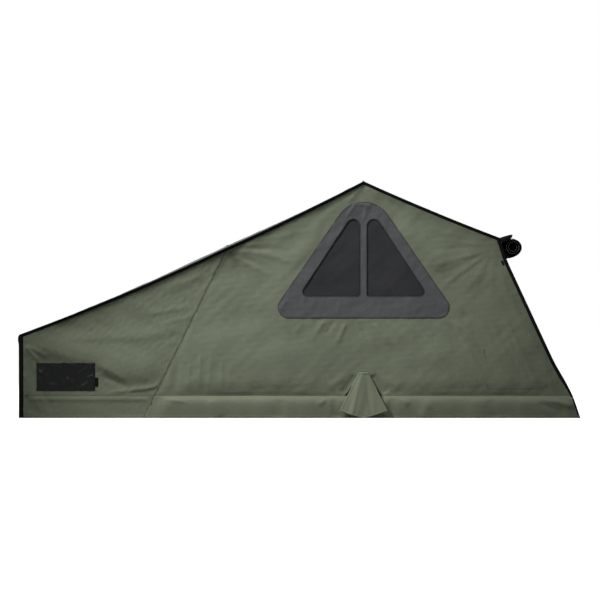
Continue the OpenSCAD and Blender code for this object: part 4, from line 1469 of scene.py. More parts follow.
@dataclass
class SideWall:
    """One side of the tent: cabin wall, canopy wall, skirt and seams, with its window."""

    shop: Workshop
    outline: TentOutline
    side: Side
    window: "WindowShape"
    step: float = 0.0075
    leaf_half: float = 0.104
    pin_half: float = 0.066
    pin_low: float = 0.170
    pin_top: float = 0.183
    pin_top_half: float = 0.048
    hem_h: float = 0.0085
    stitch_gap: float = 0.006

    def __post_init__(self) -> None:
        """Prepares the faces that the cloth lies on."""
        o = self.outline
        low_edge = tuple(o.edge(o.canopy_span)[2:])
        high_edge = (*o.edge(o.left_span), *o.edge(o.right_span)[1:])
        broad = (
            EdgeRoll((*low_edge, *high_edge[1:]), 0.007, 0.016),
            EdgeRoll(low_edge, 0.028, 0.090),
            EdgeRoll(high_edge, 0.016, 0.060),
        )
        cabin = PinnedRelief(CABIN_FOLDS, o.cabin, 0.030, 0.035, -0.008, broad)
        canopy = PinnedRelief(CANOPY_FOLDS, o.canopy, 0.020, 0.035, -0.008, broad)
        self.cabin_face = WallFace(self.side, cabin, o.side_y)
        self.canopy_face = WallFace(self.side, canopy, o.side_y)
        pulls = (
            *folds(
                (950, 125, 1170, 60, 100, 8, 16, 20, 20), (960, 85, 1130, 20, -60, 12, 20, 20, 30),
                (-1150, 122, -950, 85, 80, 6, 16, 10, 50), (-160, 110, -150, 0, -80, 16, 22, 10, 10),
                (160, 115, 150, 0, -80, 18, 24, 10, 10), (-205, 118, -260, 60, 60, 12, 22, 10, 50),
                (205, 118, 260, 60, 60, 12, 22, 10, 50), (-850, 110, -800, 0, 50, 22, 32, 20, 10),
                (-450, 110, -470, 0, -40, 30, 40, 20, 10), (360, 100, 330, 0, 50, 22, 32, 30, 10),
                (700, 110, 730, 0, -40, 30, 40, 20, 10),
            ),
            Ripples(0.0018, 0.20, 31, (1.0, 3.0)),
        )
        edge = box_ring((-1.4, o.seam_h), (1.4, o.seam_h + 0.01))
        self.skirt_face = SkirtFace(self.side, o, PinnedRelief(pulls, edge, 0.03, 0.010, -0.006))
        self.footed_face = FootedFace(self.side, self.cabin_face, self.skirt_face)

    def leaf_slot(self) -> list[Point]:
        """Room for the hinge leaves in the lower edge of the cabin wall, from right to left."""
        foot, top = (self.leaf_half, self.outline.seam_h), (self.pin_top_half, self.pin_top)
        right = [foot, (self.pin_half, self.pin_low), top]
        return [*right, *((-x, z) for x, z in reversed(right))]

    def build_cabin(self) -> None:
        """Cloth of the cabin wall, cut out for the panes and the hinge."""
        cabin, word = self.outline.cabin, self.side.word
        ring = [*cabin[:-1], *self.leaf_slot(), cabin[-1]]
        holes = self.window.panes(self.window.lap)
        self.shop.sheet(
            Cutting().panel(self.cabin_face, ring, self.step, holes), f"{word}_cabin_cloth", f"{word}_wall",
            Held.STRETCHED, ("left_bow", "centre_bow", "right_bow"), *flat_cut(ring, holes),
        )

    def build_canopy(self) -> None:
        """Cloth of the canopy wall."""
        ring, word = self.outline.canopy, self.side.word
        self.shop.sheet(
            Cutting().panel(self.canopy_face, ring, self.step), f"{word}_canopy_cloth",
            f"{word}_canopy_wall", Held.STRETCHED, ("canopy_hoop", "left_bow"), *flat_cut(ring),
        )

    def build_skirt(self) -> None:
        """Flared skirt under the cabin wall, open at the hinge."""
        o, word = self.outline, self.side.word
        top = o.seam_h + 0.004
        halves = (
            [(-o.foot_x + 0.002, top), o.entrance_hem, (-0.003, 0.0), (-0.003, 0.022), (-0.06, top)],
            [(0.06, top), (0.003, 0.022), (0.003, 0.0), o.end_hem, (o.foot_x - 0.002, top)],
        )
        cutting = Cutting()
        for half in halves:
            cutting.panel(self.skirt_face, half, self.step, lift=CLOTH_T)
        self.shop.sheet(
            cutting, f"{word}_skirt_cloth", f"{word}_skirt", Held.HUNG, [f"{word}_cabin_cloth"],
            (2.0 * (o.foot_x + o.end_flare), top), total_area(halves),
        )

    def build_seams(self) -> None:
        """Felled seams, hems and their stitching."""
        o, word = self.outline, self.side.word
        seam, line, rows = Cutting(), Cutting(), Cutting()
        join = [o.seam_top, o.entrance_foot]
        # Darker strip along the seam between cabin and canopy: painted shade of the seam's groove
        dark = tape_section(0.0024, 0.0012)
        line.tape(self.cabin_face, join, dark)
        line.tape(self.canopy_face, [o.entrance_foot, o.entrance_hem], dark)
        rows.stitches(self.cabin_face, join, self.stitch_gap, lift=0.0004)
        rows.stitches(self.canopy_face, join, -self.stitch_gap, lift=0.0004)
        for sign, flare, short in ((-1.0, o.seam_flare, 0.002), (1.0, o.end_flare, 0.020)):
            low = [(sign * 0.012, self.hem_h), (sign * (o.foot_x + flare - 0.006), self.hem_h)]
            level = o.seam_h + 0.013
            high = [(sign * 0.07, level), (sign * (o.foot_x - short), level)]
            seam.tape(self.skirt_face, low[:: int(sign)], tape_section(0.0075, 0.0010, lift=CLOTH_T))
            rows.stitches(self.skirt_face, low, sign * 0.0065, lift=0.0024)
            rows.stitches(self.cabin_face, high, lift=0.0005)
        start, end = o.front_x + 0.030, o.entrance_hem[0] - 0.004
        seam.tape(self.canopy_face, [(start, self.hem_h), (end, self.hem_h)], tape_section(0.0075, 0.0010))
        rows.stitches(self.canopy_face, [(start, 0.015), (end, 0.015)], lift=0.0012)
        level = o.seam_h + 0.0065
        crossing = [(start, level), (-o.foot_x - 0.010, level)]
        # Thin darker strip along the canopy's stitch row: painted shade of its groove
        line.tape(self.canopy_face, crossing, tape_section(0.0012, 0.0007))
        rows.stitches(self.canopy_face, crossing, 0.004, lift=0.0006)
        self.shop.dress(seam.make(f"{word}_seams"), Stuff.OLIVE)
        self.shop.dress(line.make(f"{word}_seam_shade_lines"), Stuff.SEAM)
        self.shop.dress(rows.make(f"{word}_seam_stitches"), Stuff.THREAD)

    def build(self) -> None:
        """Builds and dresses the whole side."""
        self.build_cabin()
        self.build_canopy()
        self.build_skirt()
        self.build_seams()
        self.window.build(self.shop, self.cabin_face)


# ---- windows


@dataclass(frozen=True)
class WindowShape:
    """Mesh window of two panes in a coated surround."""

    low: float = 0.551
    half: float = 0.528
    slope: float = 55.4
    top_r: float = 0.162
    low_r: float = 0.060
    pane_low: float = 0.671
    pane_half: float = 0.358
    pane_slope: float = 56.6
    pane_top_r: float = 0.038
    pane_low_r: float = 0.026
    mullion: float = 0.038
    strip: float = 0.10
    lap: float = 0.006
    step: float = 0.007
    thickness: float = 0.0016
    edging_half: float = 0.0020

    def surround(self) -> list[Point]:
        """Outer outline of the surround."""
        peak = self.low + self.half * math.tan(math.radians(self.slope))
        corners = [(-self.half, self.low), (self.half, self.low), (0.0, peak)]
        return rounded(corners, (self.low_r, self.low_r, self.top_r), 16)

    def panes(self, grow: float) -> list[list[Point]]:
        """Outlines of the two panes, grown outwards."""
        slope = math.radians(self.pane_slope)
        in_x, low = self.mullion / 2.0 - grow, self.pane_low - grow
        out_x = self.pane_half + grow / math.tan(slope / 2.0)
        corners = [(in_x, low), (out_x, low), (in_x, low + (out_x - in_x) * math.tan(slope))]
        radii = [r + grow for r in (self.pane_low_r / 2.0, self.pane_low_r, self.pane_top_r)]
        right = rounded(corners, radii, 8)
        return [right, [(-x, z) for x, z in reversed(right)]]

    def build(self, shop: Workshop, wall: WallFace) -> None:
        """Builds the surround, its edging, its stitches and the mesh.

        Args:
            shop: Workshop that dresses the pieces.
            wall: Wall that the window is sewn into.
        """
        word = wall.side.word
        creases = (
            *folds(
                (-190, 1130, -75, 1185, 65, 9, 12, 20, 30), (-170, 1100, -110, 1165, -22, 6, 7, 20, 30),
                (-100, 1100, -30, 1200, 50, 8, 10, 30, 30), (100, 1175, 190, 1050, 60, 8, 11, 20, 40),
                (20, 1190, 0, 1080, 45, 9, 11, 20, 30), (-40, 1185, 50, 1165, 40, 8, 9, 30, 30),
                (55, 1190, 30, 1110, -18, 7, 8, 20, 30), (-420, 660, -470, 580, 30, 10, 14, 20, 30),
                (420, 660, 470, 585, 30, 8, 12, 20, 30), (-360, 790, -300, 750, 15, 6, 8, 20, 30),
                (360, 800, 290, 740, 15, 6, 8, 20, 30),
            ),
            Ripples(0.0005, 0.07, 41),
        )
        ring, panes = self.surround(), self.panes(0.0)
        face = LayeredFace(wall.side, wall, PinnedRelief(creases, ring, 0.012, 0.008, -0.002))
        shop.sheet(
            Cutting().panel(face, ring, self.step, panes, 0.0021), f"{word}_window_surround",
            f"{word}_window_frame", Held.STRETCHED, [f"{word}_cabin_cloth"],
            (flat_cut(ring, panes)[1] / self.strip, self.strip), None, Stuff.COATING, self.thickness,
        )
        edging, rows, mesh = Cutting(), Cutting(), Cutting()
        half = self.edging_half
        for path, shift, row in ((ring, half, 0.008), *((pane, -half, -0.007) for pane in panes)):
            edging.tape(face, path, tape_section(half, 0.0012, shift, self.thickness), True)
            rows.stitches(face, path, row, True, lift=0.0024)
        shop.dress(edging.make(f"{word}_window_edging"), Stuff.EDGING)
        shop.dress(rows.make(f"{word}_window_stitches"), Stuff.COATING)
        nets = self.panes(self.lap - 0.0003)
        for net in nets:
            mesh.panel(wall, net, 0.012, lift=-0.0020)
        shop.sheet(
            mesh, f"{word}_window_net", f"{word}_window_mesh", Held.STRETCHED, [f"{word}_window_surround"],
            flat_cut(nets[0] + nets[1])[0], total_area(nets), Stuff.MESH, NET_T,
        )


# ---- edge binding


@dataclass(frozen=True)
class EdgeRun:
    """Stretch of bound edge with one width."""

    path: tuple[Point, ...]
    width: float
    wrap: float
    drops: tuple[float, ...] = ()
    puff: float = 0.0
    low_width: float | None = None


@dataclass
class Binding:
    """Black tape folded over the edges of one side of the tent."""

    shop: Workshop
    outline: TentOutline
    wall: SideWall
    roof_w: float = 0.0150
    sleeve_w: float = 0.0235
    end_w: float = 0.0175
    hem_w: float = 0.0090
    thick: float = 0.0018

    def runs(self) -> list[tuple[Surface, EdgeRun]]:
        """Stretches of the edge, each with the face that its inner half lies on."""
        o, wall = self.outline, self.wall
        shares = np.linspace(0.0, 1.0, o.steps + 1)
        cabin = wall.cabin_face
        spans = ((wall.canopy_face, o.canopy_span), (cabin, o.left_span), (cabin, o.right_span))
        return [
            (wall.canopy_face, EdgeRun(((o.front_x, 0.002), *o.hoop_arc), self.sleeve_w, 0.026, puff=0.005)),
            *(
                (face, EdgeRun(tuple(o.edge(span)), self.roof_w, 0.009, tuple(span.drop(shares))))
                for face, span in spans
            ),
            (wall.footed_face, EdgeRun((*o.end_edge, o.end_hem), self.end_w, 0.016, low_width=self.hem_w)),
        ]

    def add_run(self, cutting: Cutting, face: Surface, run: EdgeRun) -> None:
        """Adds one stretch: flat on the wall, round the edge and a little way over it.

        Args:
            cutting: Where the faces go.
            face: Face that the inner half lies on.
            run: The stretch.
        """
        sign, o, bead = self.wall.side.value, self.outline, self.thick
        path = resampled(run.path, 0.015)
        marks, travel = travelled(np.array(run.path)), travelled(path)
        drops = np.interp(travel, marks, run.drops) if run.drops else np.zeros(len(path))
        left = path_normals(path, False)
        last = run.width if run.low_width is None else run.low_width
        width = run.width + (last - run.width) * smoothstep(travel, travel[-1] - 0.26, travel[-1] - 0.09)
        rows = [face.place(path - left * width[:, None], -0.0006)]
        for share, lift in ((0.985, 0.6), (0.93, 1.0), (0.5, 1.1), (0.12, 1.05)):
            rows.append(face.place(path - left * width[:, None] * share, lift * bead))
        far = norm(path - (o.front_x, o.hoop_h - 0.012), axis=1)
        edge = face.place(path, 0.0)
        stands = np.abs(edge[:, 1]) - o.side_y
        edge[:, [0, 2]] += left * (run.puff * np.exp(-((far / 0.020) ** 2)))[:, None]

        def beyond(out: Array | float, deep: Array | float) -> Array:
            """The edge moved out of the wall's outline, and in towards the middle of the tent."""
            place = edge.copy()
            place[:, [0, 2]] += left * out
            place[:, 1] -= sign * deep
            return place

        for out, deep in ((0.2, -0.75), (0.75, -0.2), (1.0, 0.6), (1.0, 3.0)):
            rows.append(beyond(bead * out, bead * deep))
        for share in (0.6, 0.95, 1.0):
            depth = run.wrap * share
            rise = drops * (1.0 - (1.0 - depth / o.shoulder_w) ** 2)
            rows.append(beyond((bead if share < 1.0 else -0.0004) + rise[:, None], depth + stands))
        places = np.stack(rows, axis=1)
        across = np.cumsum(norm(np.diff(places, axis=1, prepend=places[:, :1]), axis=2), axis=1)
        maps = np.stack([np.broadcast_to(travel[:, None], across.shape), across], axis=2)
        cutting.grid(places, maps, self.wall.side is Side.NEAR)

    def build(self) -> None:
        """Builds the binding and its stitching."""
        cutting, rows = Cutting(), Cutting()
        for face, run in self.runs():
            self.add_run(cutting, face, run)
            rows.stitches(face, run.path, -((run.low_width or run.width) - 0.003), lift=self.thick + 0.0002)
        word = self.wall.side.word
        self.shop.dress(cutting.make(f"{word}_edge_binding"), Stuff.BINDING, [f"{word}_binding"])
        self.shop.dress(rows.make(f"{word}_binding_stitches"), Stuff.BINDING)


# ---- roofs


@dataclass
class RoofCover:
    """Roof cloth of the canopy and of both cabin slopes."""

    shop: Workshop
    outline: TentOutline
    step: float = 0.014
    seam_in: float = 0.008
    welt_r: float = 0.0042

    def folds(self, length: float, seed: int, gain: float) -> tuple[Relief, ...]:
        """Tension folds between two bows.

        Args:
            length: Distance between the bows.
            seed: Seed of the folds' places.
            gain: Size of the folds.

        Returns:
            The folds.
        """
        rng = np.random.default_rng(seed)
        parts: list[Relief] = []
        for side in (-1.0, 1.0):
            for k in range(5):
                start = (side * rng.uniform(0.60, 0.69), length * rng.choice([0.03, 0.97]))
                end = (side * rng.uniform(0.05, 0.5), length * rng.uniform(0.35, 0.65))
                height = gain * rng.uniform(0.002, 0.0045) * (-1.0 if k % 2 else 1.0)
                parts.append(Fold(start, end, height, 0.012, 0.030, 0.2, 0.6))
        for y in np.linspace(-0.55, 0.55, 8):
            centre = y + rng.uniform(-0.04, 0.04)
            end = centre + rng.uniform(-0.05, 0.05)
            height = gain * rng.uniform(-0.002, 0.003)
            parts.append(Fold((centre, 0.02), (end, length - 0.02), height, 0.02, 0.03, 0.2, 0.2))
        parts.append(Ripples(0.0012 * gain, 0.22, seed + 1, (1.0, 2.0)))
        parts.append(Ripples(0.0005, 0.06, seed + 2))
        return tuple(parts)

    def build(self) -> None:
        """Builds the three roof cloths, their seams and their stitching."""
        o = self.outline
        half = o.side_y - EDGE_IN
        seams, rows = Cutting(), Cutting()
        flat = half - o.shoulder_w
        spans = ((-half, -flat, 9), (-flat, flat, 94), (flat, half, 9))
        left, middle, right = (np.linspace(*span) for span in spans)
        across = np.concatenate([left, middle[1:-1], right])
        for name, span, seed, gain, bows in (
            ("canopy", o.canopy_span, 61, 1.3, ("canopy_hoop", "left_bow")),
            ("left", o.left_span, 71, 0.9, ("left_bow", "centre_bow")),
            ("right", o.right_span, 81, 0.9, ("centre_bow", "right_bow")),
        ):
            length = math.dist(span.start, span.end)
            rim = box_ring((-half, 0.0), (half, length))
            face = RoofFace(span, o, PinnedRelief(self.folds(length, seed, gain), rim, 0.05, 0.010, -0.006))
            along = np.linspace(0.0, length, max(12, round(length / self.step)))
            self.shop.sheet(
                Cutting().cover(face, across, along), f"{name}_roof_cloth", f"{name}_roof",
                Held.STRETCHED, bows, (2.0 * o.side_y, length), stuff=Stuff.ROOF,
            )
            for s in (self.seam_in, length - self.seam_in):
                seams.tape(face, [(-half + 0.01, s), (half - 0.01, s)], tape_section(0.007, 0.0011))
                for gap in (0.004, -0.004):
                    rows.stitches(face, [(-half + 0.012, s), (half - 0.012, s)], gap, lift=0.0012)
        self.add_piping(seams)
        self.shop.dress(seams.make("roof_seams"), Stuff.ROOF)
        self.shop.dress(rows.make("roof_seam_stitches"), Stuff.ROOF)

    def add_piping(self, cutting: Cutting) -> None:
        """Adds the round welts along the ridge and the left bow."""
        o = self.outline
        y = np.linspace(-o.side_y - 0.001, o.side_y + 0.001, 122)
        turns = np.linspace(0.0, 2.0 * math.pi, 9)
        beyond = np.clip((np.abs(y) - o.side_y) / o.shoulder_w + 1.0, 0.0, 2.0)
        end = np.where(np.arange(len(y)) % (len(y) - 1) == 0, 0.25, 1.0)
        for (x, z), drop in ((o.ridge, o.right_shoulder), (o.left_top, o.left_shoulder)):
            level = z - drop * beyond**2 + 0.0012
            px = x + self.welt_r * np.outer(end, np.cos(turns))
            pz = level[:, None] + self.welt_r * np.outer(end, np.sin(turns))
            py = np.broadcast_to(y[:, None], px.shape)
            maps = np.stack([py, np.broadcast_to(turns * self.welt_r, px.shape)], axis=2)
            cutting.grid(np.stack([px, py, pz], axis=2), maps, True)


# ---- ends of the tent


@dataclass
class EndCloths:
    """Cloth of the right end, of the doorway wall and of the canopy's front."""

    shop: Workshop
    outline: TentOutline
    step: float = 0.013
    bow_skin: float = 0.0156
    window: tuple[float, float, float] = (1.0, 0.190, 0.620)
    door: tuple[float, float, float] = (0.8, 0.150, 0.680)
    corner_r: float = 0.08
    zip_w: float = 0.011
    door_half: float = 0.7198
    door_notch: float = 0.6907
    notch_h: float = 0.036

    def __post_init__(self) -> None:
        """Prepares the faces that the cloth lies on."""
        o = self.outline
        self.half = half = o.side_y - EDGE_IN
        path = tuple(o.drawn_in(o.right_top))
        self.end_len = PathFace(path, Flat()).length
        pulls: tuple[Relief, ...] = (
            *folds(
                (-680, 30, -520, 300, 50, 12, 30), (680, 30, 540, 280, 50, 12, 30),
                (-690, 50, -600, 450, -40, 12, 30), (690, 50, 610, 420, -40, 12, 30),
                (-400, 830, -440, 950, 40, 10, 16), (100, 830, 130, 950, -30, 12, 16),
                (380, 830, 430, 950, 40, 10, 16),
            ),
            Ripples(0.0016, 0.20, 91),
            Ripples(0.0006, 0.06, 92),
        )
        rim = box_ring((-half, 0.0), (half, self.end_len))
        self.end_face = PathFace(path, PinnedRelief(pulls, rim, 0.03, 0.0015, -0.0035))
        self.end_line = PathFace((o.right_top, o.end_foot), Flat())
        door = (self.bow_centre(), o.entrance_foot)
        self.door_len = math.dist(*door)
        pulls = (
            *folds(
                (-660, 50, -480, 400, 40, 12, 30), (660, 50, 470, 380, 40, 12, 30),
                (-550, 500, -520, 850, 40, 15, 30), (560, 450, 530, 840, -30, 15, 30),
            ),
            Ripples(0.0016, 0.2, 93),
        )
        rim = box_ring((-0.72, 0.0), (0.72, self.door_len))
        self.door_face = PathFace(door, PinnedRelief(pulls, rim, 0.03, 0.006, -0.004), -1.0)
        pulls = (
            *folds(
                (-620, 420, -500, 60, 50, 14, 30, 20, 30), (620, 420, 520, 50, 50, 14, 30, 20, 30),
                (-660, 430, -630, 80, -40, 12, 24, 20, 30), (660, 430, 620, 80, -40, 12, 24, 20, 30),
                (-120, 400, -150, 30, 40, 20, 35, 30, 20), (200, 400, 170, 30, -40, 20, 35, 30, 20),
            ),
            Ripples(0.0018, 0.16, 95, (1.0, 2.5)),
            Ripples(0.0006, 0.05, 96),
        )
        edge = ((-half, 0.0), (-half, 0.445), (half, 0.445), (half, 0.0))
        front = ((o.front_x, 0.0), *o.hoop_arc)
        self.front_face = PathFace(front, PinnedRelief(pulls, edge, 0.03, 0.008, -0.004))

    def bow_centre(self) -> Point:
        """Centre of the left bow's crossbar, under the cloth on both of its sides."""
        o = self.outline
        p = np.array(o.left_top)
        u, v = np.array(o.hoop_arc[-1]) - p, np.array(o.ridge) - p
        u, v = u / norm(u), v / norm(v)
        w = (u + v) / norm(u + v)
        half = math.acos(float(u @ v)) / 2.0
        centre = p - w * math.copysign(self.bow_skin / math.sin(half), w[1])
        return (float(centre[0]), float(centre[1]))

    def opening(self, sizes: tuple[float, float, float], grow: float = 0.0) -> list[Point]:
        """Outline of an opening in an end wall, grown outwards.

        Args:
            sizes: Width, distance from the top and height.
            grow: Distance that it is grown by.

        Returns:
            The outline.
        """
        width, top, height = sizes
        low = (-width / 2.0 - grow, top - grow)
        return box_ring(low, (width / 2.0 + grow, top + height + grow), self.corner_r + grow)

    def add_zip(self, tapes: Cutting, teeth: Cutting, face: Surface, path: Path, closed: bool) -> None:
        """Adds a zip along a path.

        Args:
            tapes: Where the faces of its tape go.
            teeth: Where the raised coil and the stitches go.
            face: Face that the zip lies on.
            path: Path of the zip, in flat points.
            closed: Whether the path closes.
        """
        tapes.tape(face, path, tape_section(self.zip_w, 0.0013), closed)
        coil = ((-0.0032, 0.0008), (-0.0024, 0.0030), (0.0, 0.0038), (0.0024, 0.0030), (0.0032, 0.0008))
        teeth.tape(face, path, coil, closed)
        for gap in (0.0085, -0.0085):
            teeth.stitches(face, path, gap, closed, lift=0.0014)

    def build_end(self, tapes: Cutting, teeth: Cutting) -> None:
        """Right end wall with its mesh window."""
        ring = box_ring((-self.half, 0.003), (self.half, self.end_len))
        hole, net = self.opening(self.window), self.opening(self.window, 0.008)
        self.shop.sheet(
            Cutting().panel(self.end_face, ring, self.step, [hole]), "end_wall_cloth", "end_wall",
            Held.STRETCHED, ["right_bow"], *flat_cut(ring, [hole]),
        )
        self.shop.sheet(
            Cutting().panel(self.end_face, net, 0.016, lift=-0.0024), "end_window_net", "end_mesh",
            Held.STRETCHED, ["end_wall_cloth"], *flat_cut(net), Stuff.MESH, NET_T,
        )
        tapes.tape(self.end_face, hole, tape_section(0.008, 0.0015), True)
        self.add_zip(tapes, teeth, self.end_face, self.opening(self.window, 0.034), True)

    def build_door(self, tapes: Cutting, teeth: Cutting) -> None:
        """Doorway wall between cabin and canopy."""
        half, notch, low = self.door_half, self.door_notch, self.door_len
        ledge = low - self.notch_h
        ring = [
            (-half, 0.012), (half, 0.012), (half, ledge), (notch, ledge),
            (notch, low), (-notch, low), (-notch, ledge), (-half, ledge),
        ]
        hole = self.opening(self.door)
        self.shop.sheet(
            Cutting().panel(self.door_face, ring, self.step, [hole]), "doorway_cloth", "entrance_wall",
            Held.STRETCHED, ["left_bow"], *flat_cut(ring, [hole]),
        )
        tapes.tape(self.door_face, hole, tape_section(0.008, 0.0015), True)
        self.add_zip(tapes, teeth, self.door_face, self.opening(self.door, 0.030), True)

    def build_front(self, tapes: Cutting, teeth: Cutting) -> None:
        """Front of the canopy, drawn over the hoop, with a zipped door."""
        length, bend = self.front_face.length, self.outline.hoop_h
        across = np.linspace(-self.half, self.half, 110)
        along = np.concatenate([np.linspace(0.0, bend, 40)[:-1], np.linspace(bend, length, 9)])
        self.shop.sheet(
            Cutting().cover(self.front_face, across, along), "canopy_front_cloth", "canopy_front",
            Held.HUNG, ["canopy_hoop"], (2.0 * self.half, length),
        )
        left = [(-0.36, 0.012), (-0.36, 0.33), (-0.33, 0.375), (-0.29, 0.39)]
        door = [*left, *((-y, s) for y, s in reversed(left))]
        self.add_zip(tapes, teeth, self.front_face, door, False)

    def build_skirt(self) -> None:
        """Flared skirt under the right end wall."""
        o = self.outline
        length = math.dist(o.end_foot, o.end_hem)
        wide = o.side_y + o.side_flare
        ring = [(-self.half, -0.004), (self.half, -0.004), (wide, length), (-wide, length)]
        pulls = (
            *folds(
                (-500, 10, -520, 120, 40, 20, 30, 30, 10), (100, 10, 80, 120, -40, 20, 30, 30, 10),
                (450, 10, 470, 120, 40, 20, 30, 30, 10),
            ),
            Ripples(0.0015, 0.2, 97, (1.0, 3.0)),
        )
        edge = (
            (-0.8, 0.0), (0.8, 0.0), (0.8, 0.2), (0.745, 0.2),
            (0.745, 0.005), (-0.745, 0.005), (-0.745, 0.2), (-0.8, 0.2),
        )
        top = np.add(o.end_foot, np.subtract(o.end_foot, o.end_hem) * 0.04)
        face = PathFace((tuple(top), o.end_hem), PinnedRelief(pulls, edge, 0.03, 0.0008, -0.008))
        self.shop.sheet(
            Cutting().panel(face, [(y, s + 0.005) for y, s in ring], self.step), "end_skirt_cloth",
            "end_skirt", Held.HUNG, ["end_wall_cloth"], *flat_cut(ring),
        )

    def build(self) -> None:
        """Builds every end."""
        tapes, teeth = Cutting(), Cutting()
        self.build_end(tapes, teeth)
        self.build_door(tapes, teeth)
        self.build_front(tapes, teeth)
        self.build_skirt()
        self.shop.dress(tapes.make("end_zip_tapes"), Stuff.BINDING)
        self.shop.dress(teeth.make("end_zip_coils"), Stuff.WEBBING)


# ---- rolled flaps


@dataclass
class RolledFlap:
    """Door flap rolled up at the top of an end wall, with its straps."""

    shop: Workshop
    face: PathFace
    name: str
    node: str
    strap_node: str
    start: float
    radius: float
    inner: float
    middle: float = 0.085
    length: float = 1.34
    turns: float = 2.6
    steps: int = 30
    leaf_rows: int = 8
    pitch: float = 0.48
    strap_w: float = 0.030
    gap: float = 0.0022
    thick: float = 0.0022

    @property
    def centre(self) -> Array:
        """Middle of the roll, as distance down the wall and out of it."""
        return np.array([self.start + self.middle, self.gap + self.radius])

    @property
    def straps(self) -> Array:
        """Y of each strap."""
        return np.array([-self.pitch, 0.0, self.pitch])

    def section(self) -> Array:
        """Path of the rolled cloth, as distance down the wall and out of it."""
        centre = self.centre
        flat = [(self.start + d, self.gap) for d in np.linspace(0.004, self.middle - 0.012, self.leaf_rows)]
        rolled = []
        for i in range(round(self.steps * self.turns) + 1):
            turn = i / self.steps
            w = -math.pi / 2.0 + 2.0 * math.pi * turn
            r = self.radius - (self.radius - self.inner) * turn / self.turns
            droop = 0.16 * math.exp(-(((w + 0.75) / 0.5) ** 2))
            rolled.append(centre + r * (1.0 + droop) * np.array([math.cos(w), math.sin(w)]))
        last = rolled[-1] - centre
        return np.array([*flat, *rolled, *(centre + last * k for k in (0.62, 0.2, -0.3, -0.72))])

    def sweep(self, cutting: Cutting, across: Array, travel: Array, rows: Sequence[Array]) -> Array:
        """Adds a grid of sections that stand side by side.

        Args:
            cutting: Where the faces go.
            across: Y of each section.
            travel: Distance along the sections.
            rows: Places of the sections.

        Returns:
            The places, in one array.
        """
        places = np.stack(rows, axis=0)
        maps = np.stack(np.meshgrid(across, travel, indexing="ij"), axis=2)
        cutting.grid(places, maps, not self.face.turned)
        return places

    def build(self) -> None:
        """Builds the rolled cloth and its straps."""
        section, centre = self.section(), self.centre
        travel, end = travelled(section), self.length / 2.0
        across = np.linspace(-end, end, 72)
        sag = Ripples(0.0012, 0.16, 94)
        out = section - centre
        far = norm(out, axis=1)
        rows = []
        for y in across:
            tight = sum(math.exp(-(((y - c) / 0.045) ** 2)) for c in self.straps)
            flat = np.column_stack([np.full(len(section), y), travel])
            free = 1.0 - smoothstep(np.array(abs(y)), end - 0.10, end)
            swell = (1.0 - 0.09 * tight) + 0.022 * free * (1.0 - tight) * math.sin(9.0 * y + 1.0) ** 2
            moved = centre + out * np.where(section[:, 1] > self.gap + 0.001, swell, 1.0)[:, None]
            moved += out / np.maximum(far, 1e-6)[:, None] * sag.lift(flat)[:, None] * free
            moved[:, 1] = np.maximum(moved[:, 1], self.gap)
            rows.append(self.face.profile(y, moved))
        cutting = Cutting()
        places = self.sweep(cutting, across, travel, rows)
        self.shop.sheet(
            cutting, self.name, self.node, Held.FOLDED, [self.strap_node],
            (self.length, float(travel[-1])), None, Stuff.FLAP, self.thick,
        )
        self.build_hems(places)
        self.build_straps()

    def build_hems(self, places: Array) -> None:
        """Bound edges of the inner turns, seen at both ends of the roll.

        Args:
            places: Places of the rolled cloth, in rows from end to end.
        """
        cutting = Cutting()
        section = ((-1.0, -0.001), (-1.0, 0.0010), (0.0, 0.0016), (1.0, 0.0010), (1.0, -0.001))
        for row, sign in ((places[0], -1.0), (places[-1], 1.0)):
            for turn, half in ((0.5, 0.0014), (1.5, 0.0012)):
                first = self.leaf_rows + round(turn * self.steps)
                line = row[first : first + self.steps + 1]
                ahead = np.gradient(line[:, [0, 2]], axis=0)
                ahead /= norm(ahead, axis=1)[:, None]
                side = np.column_stack([-ahead[:, 1], np.zeros(len(line)), ahead[:, 0]])
                bow = np.array([0.0, sign, 0.0])
                grid = np.stack([line + side * a * half + bow * b for a, b in section], axis=1)
                cutting.grid(grid, grid[:, :, [0, 2]], sign < 0.0)
        self.shop.dress(cutting.make(f"{self.name}_hems"), Stuff.HEM)

    def build_straps(self) -> None:
        """Straps round the roll, with a buckle on each."""
        centre = self.centre
        reach = self.radius * 0.95 + self.thick + 0.002
        over, under = np.linspace(math.pi, 0.0, 15), np.linspace(-0.2, -1.15, 7)
        line = np.array([
            (self.start + 0.004, 0.0024),
            (centre[0] - reach * 1.02, 0.004),
            (centre[0] - reach, self.gap + self.radius * 0.7),
            *(centre + reach * np.array([math.cos(w), math.sin(w)]) for w in over),
            *(centre + reach * np.array([math.cos(w), math.sin(w)]) * (1.0, 1.05) for w in under),
            (centre[0] + 0.006, 0.0024),
        ])
        cutting = Cutting()
        for c in self.straps:
            across = c + np.array([-0.5, -0.46, 0.0, 0.46, 0.5]) * self.strap_w
            bulge = (0.0, 0.0009, 0.0012, 0.0009, 0.0)
            rows = [self.face.profile(y, line, b) for y, b in zip(across, bulge)]
            self.sweep(cutting, across, travelled(line), rows)
            self.add_buckle(cutting, c, centre, reach)
        self.shop.dress(cutting.make(f"{self.name}_straps", 0.0014), Stuff.WEBBING, [self.strap_node])

    def add_bar(
        self, cutting: Cutting, ends: Point, middle: Array, deep: Array, tall: Array, flat: float
    ) -> None:
        """Adds a six-sided bar of a buckle, which runs across the tent.

        Args:
            cutting: Where the faces go.
            ends: Y of its two ends.
            middle: Middle of its section, as distance down the wall and out of it.
            deep: From the middle to the outer side.
            tall: From the middle to the upper side.
            flat: Share of the depth that the upper and lower sides take.
        """
        rim = ((1, 0), (flat, 1), (-flat, 1), (-1, 0), (-flat, -1), (flat, -1), (1, 0))
        ring = np.array([middle + deep * a + tall * b for a, b in rim])
        places = np.stack([self.face.profile(y, ring) for y in ends], axis=0)
        cutting.grid(places, places[:, :, :2], self.face.turned)

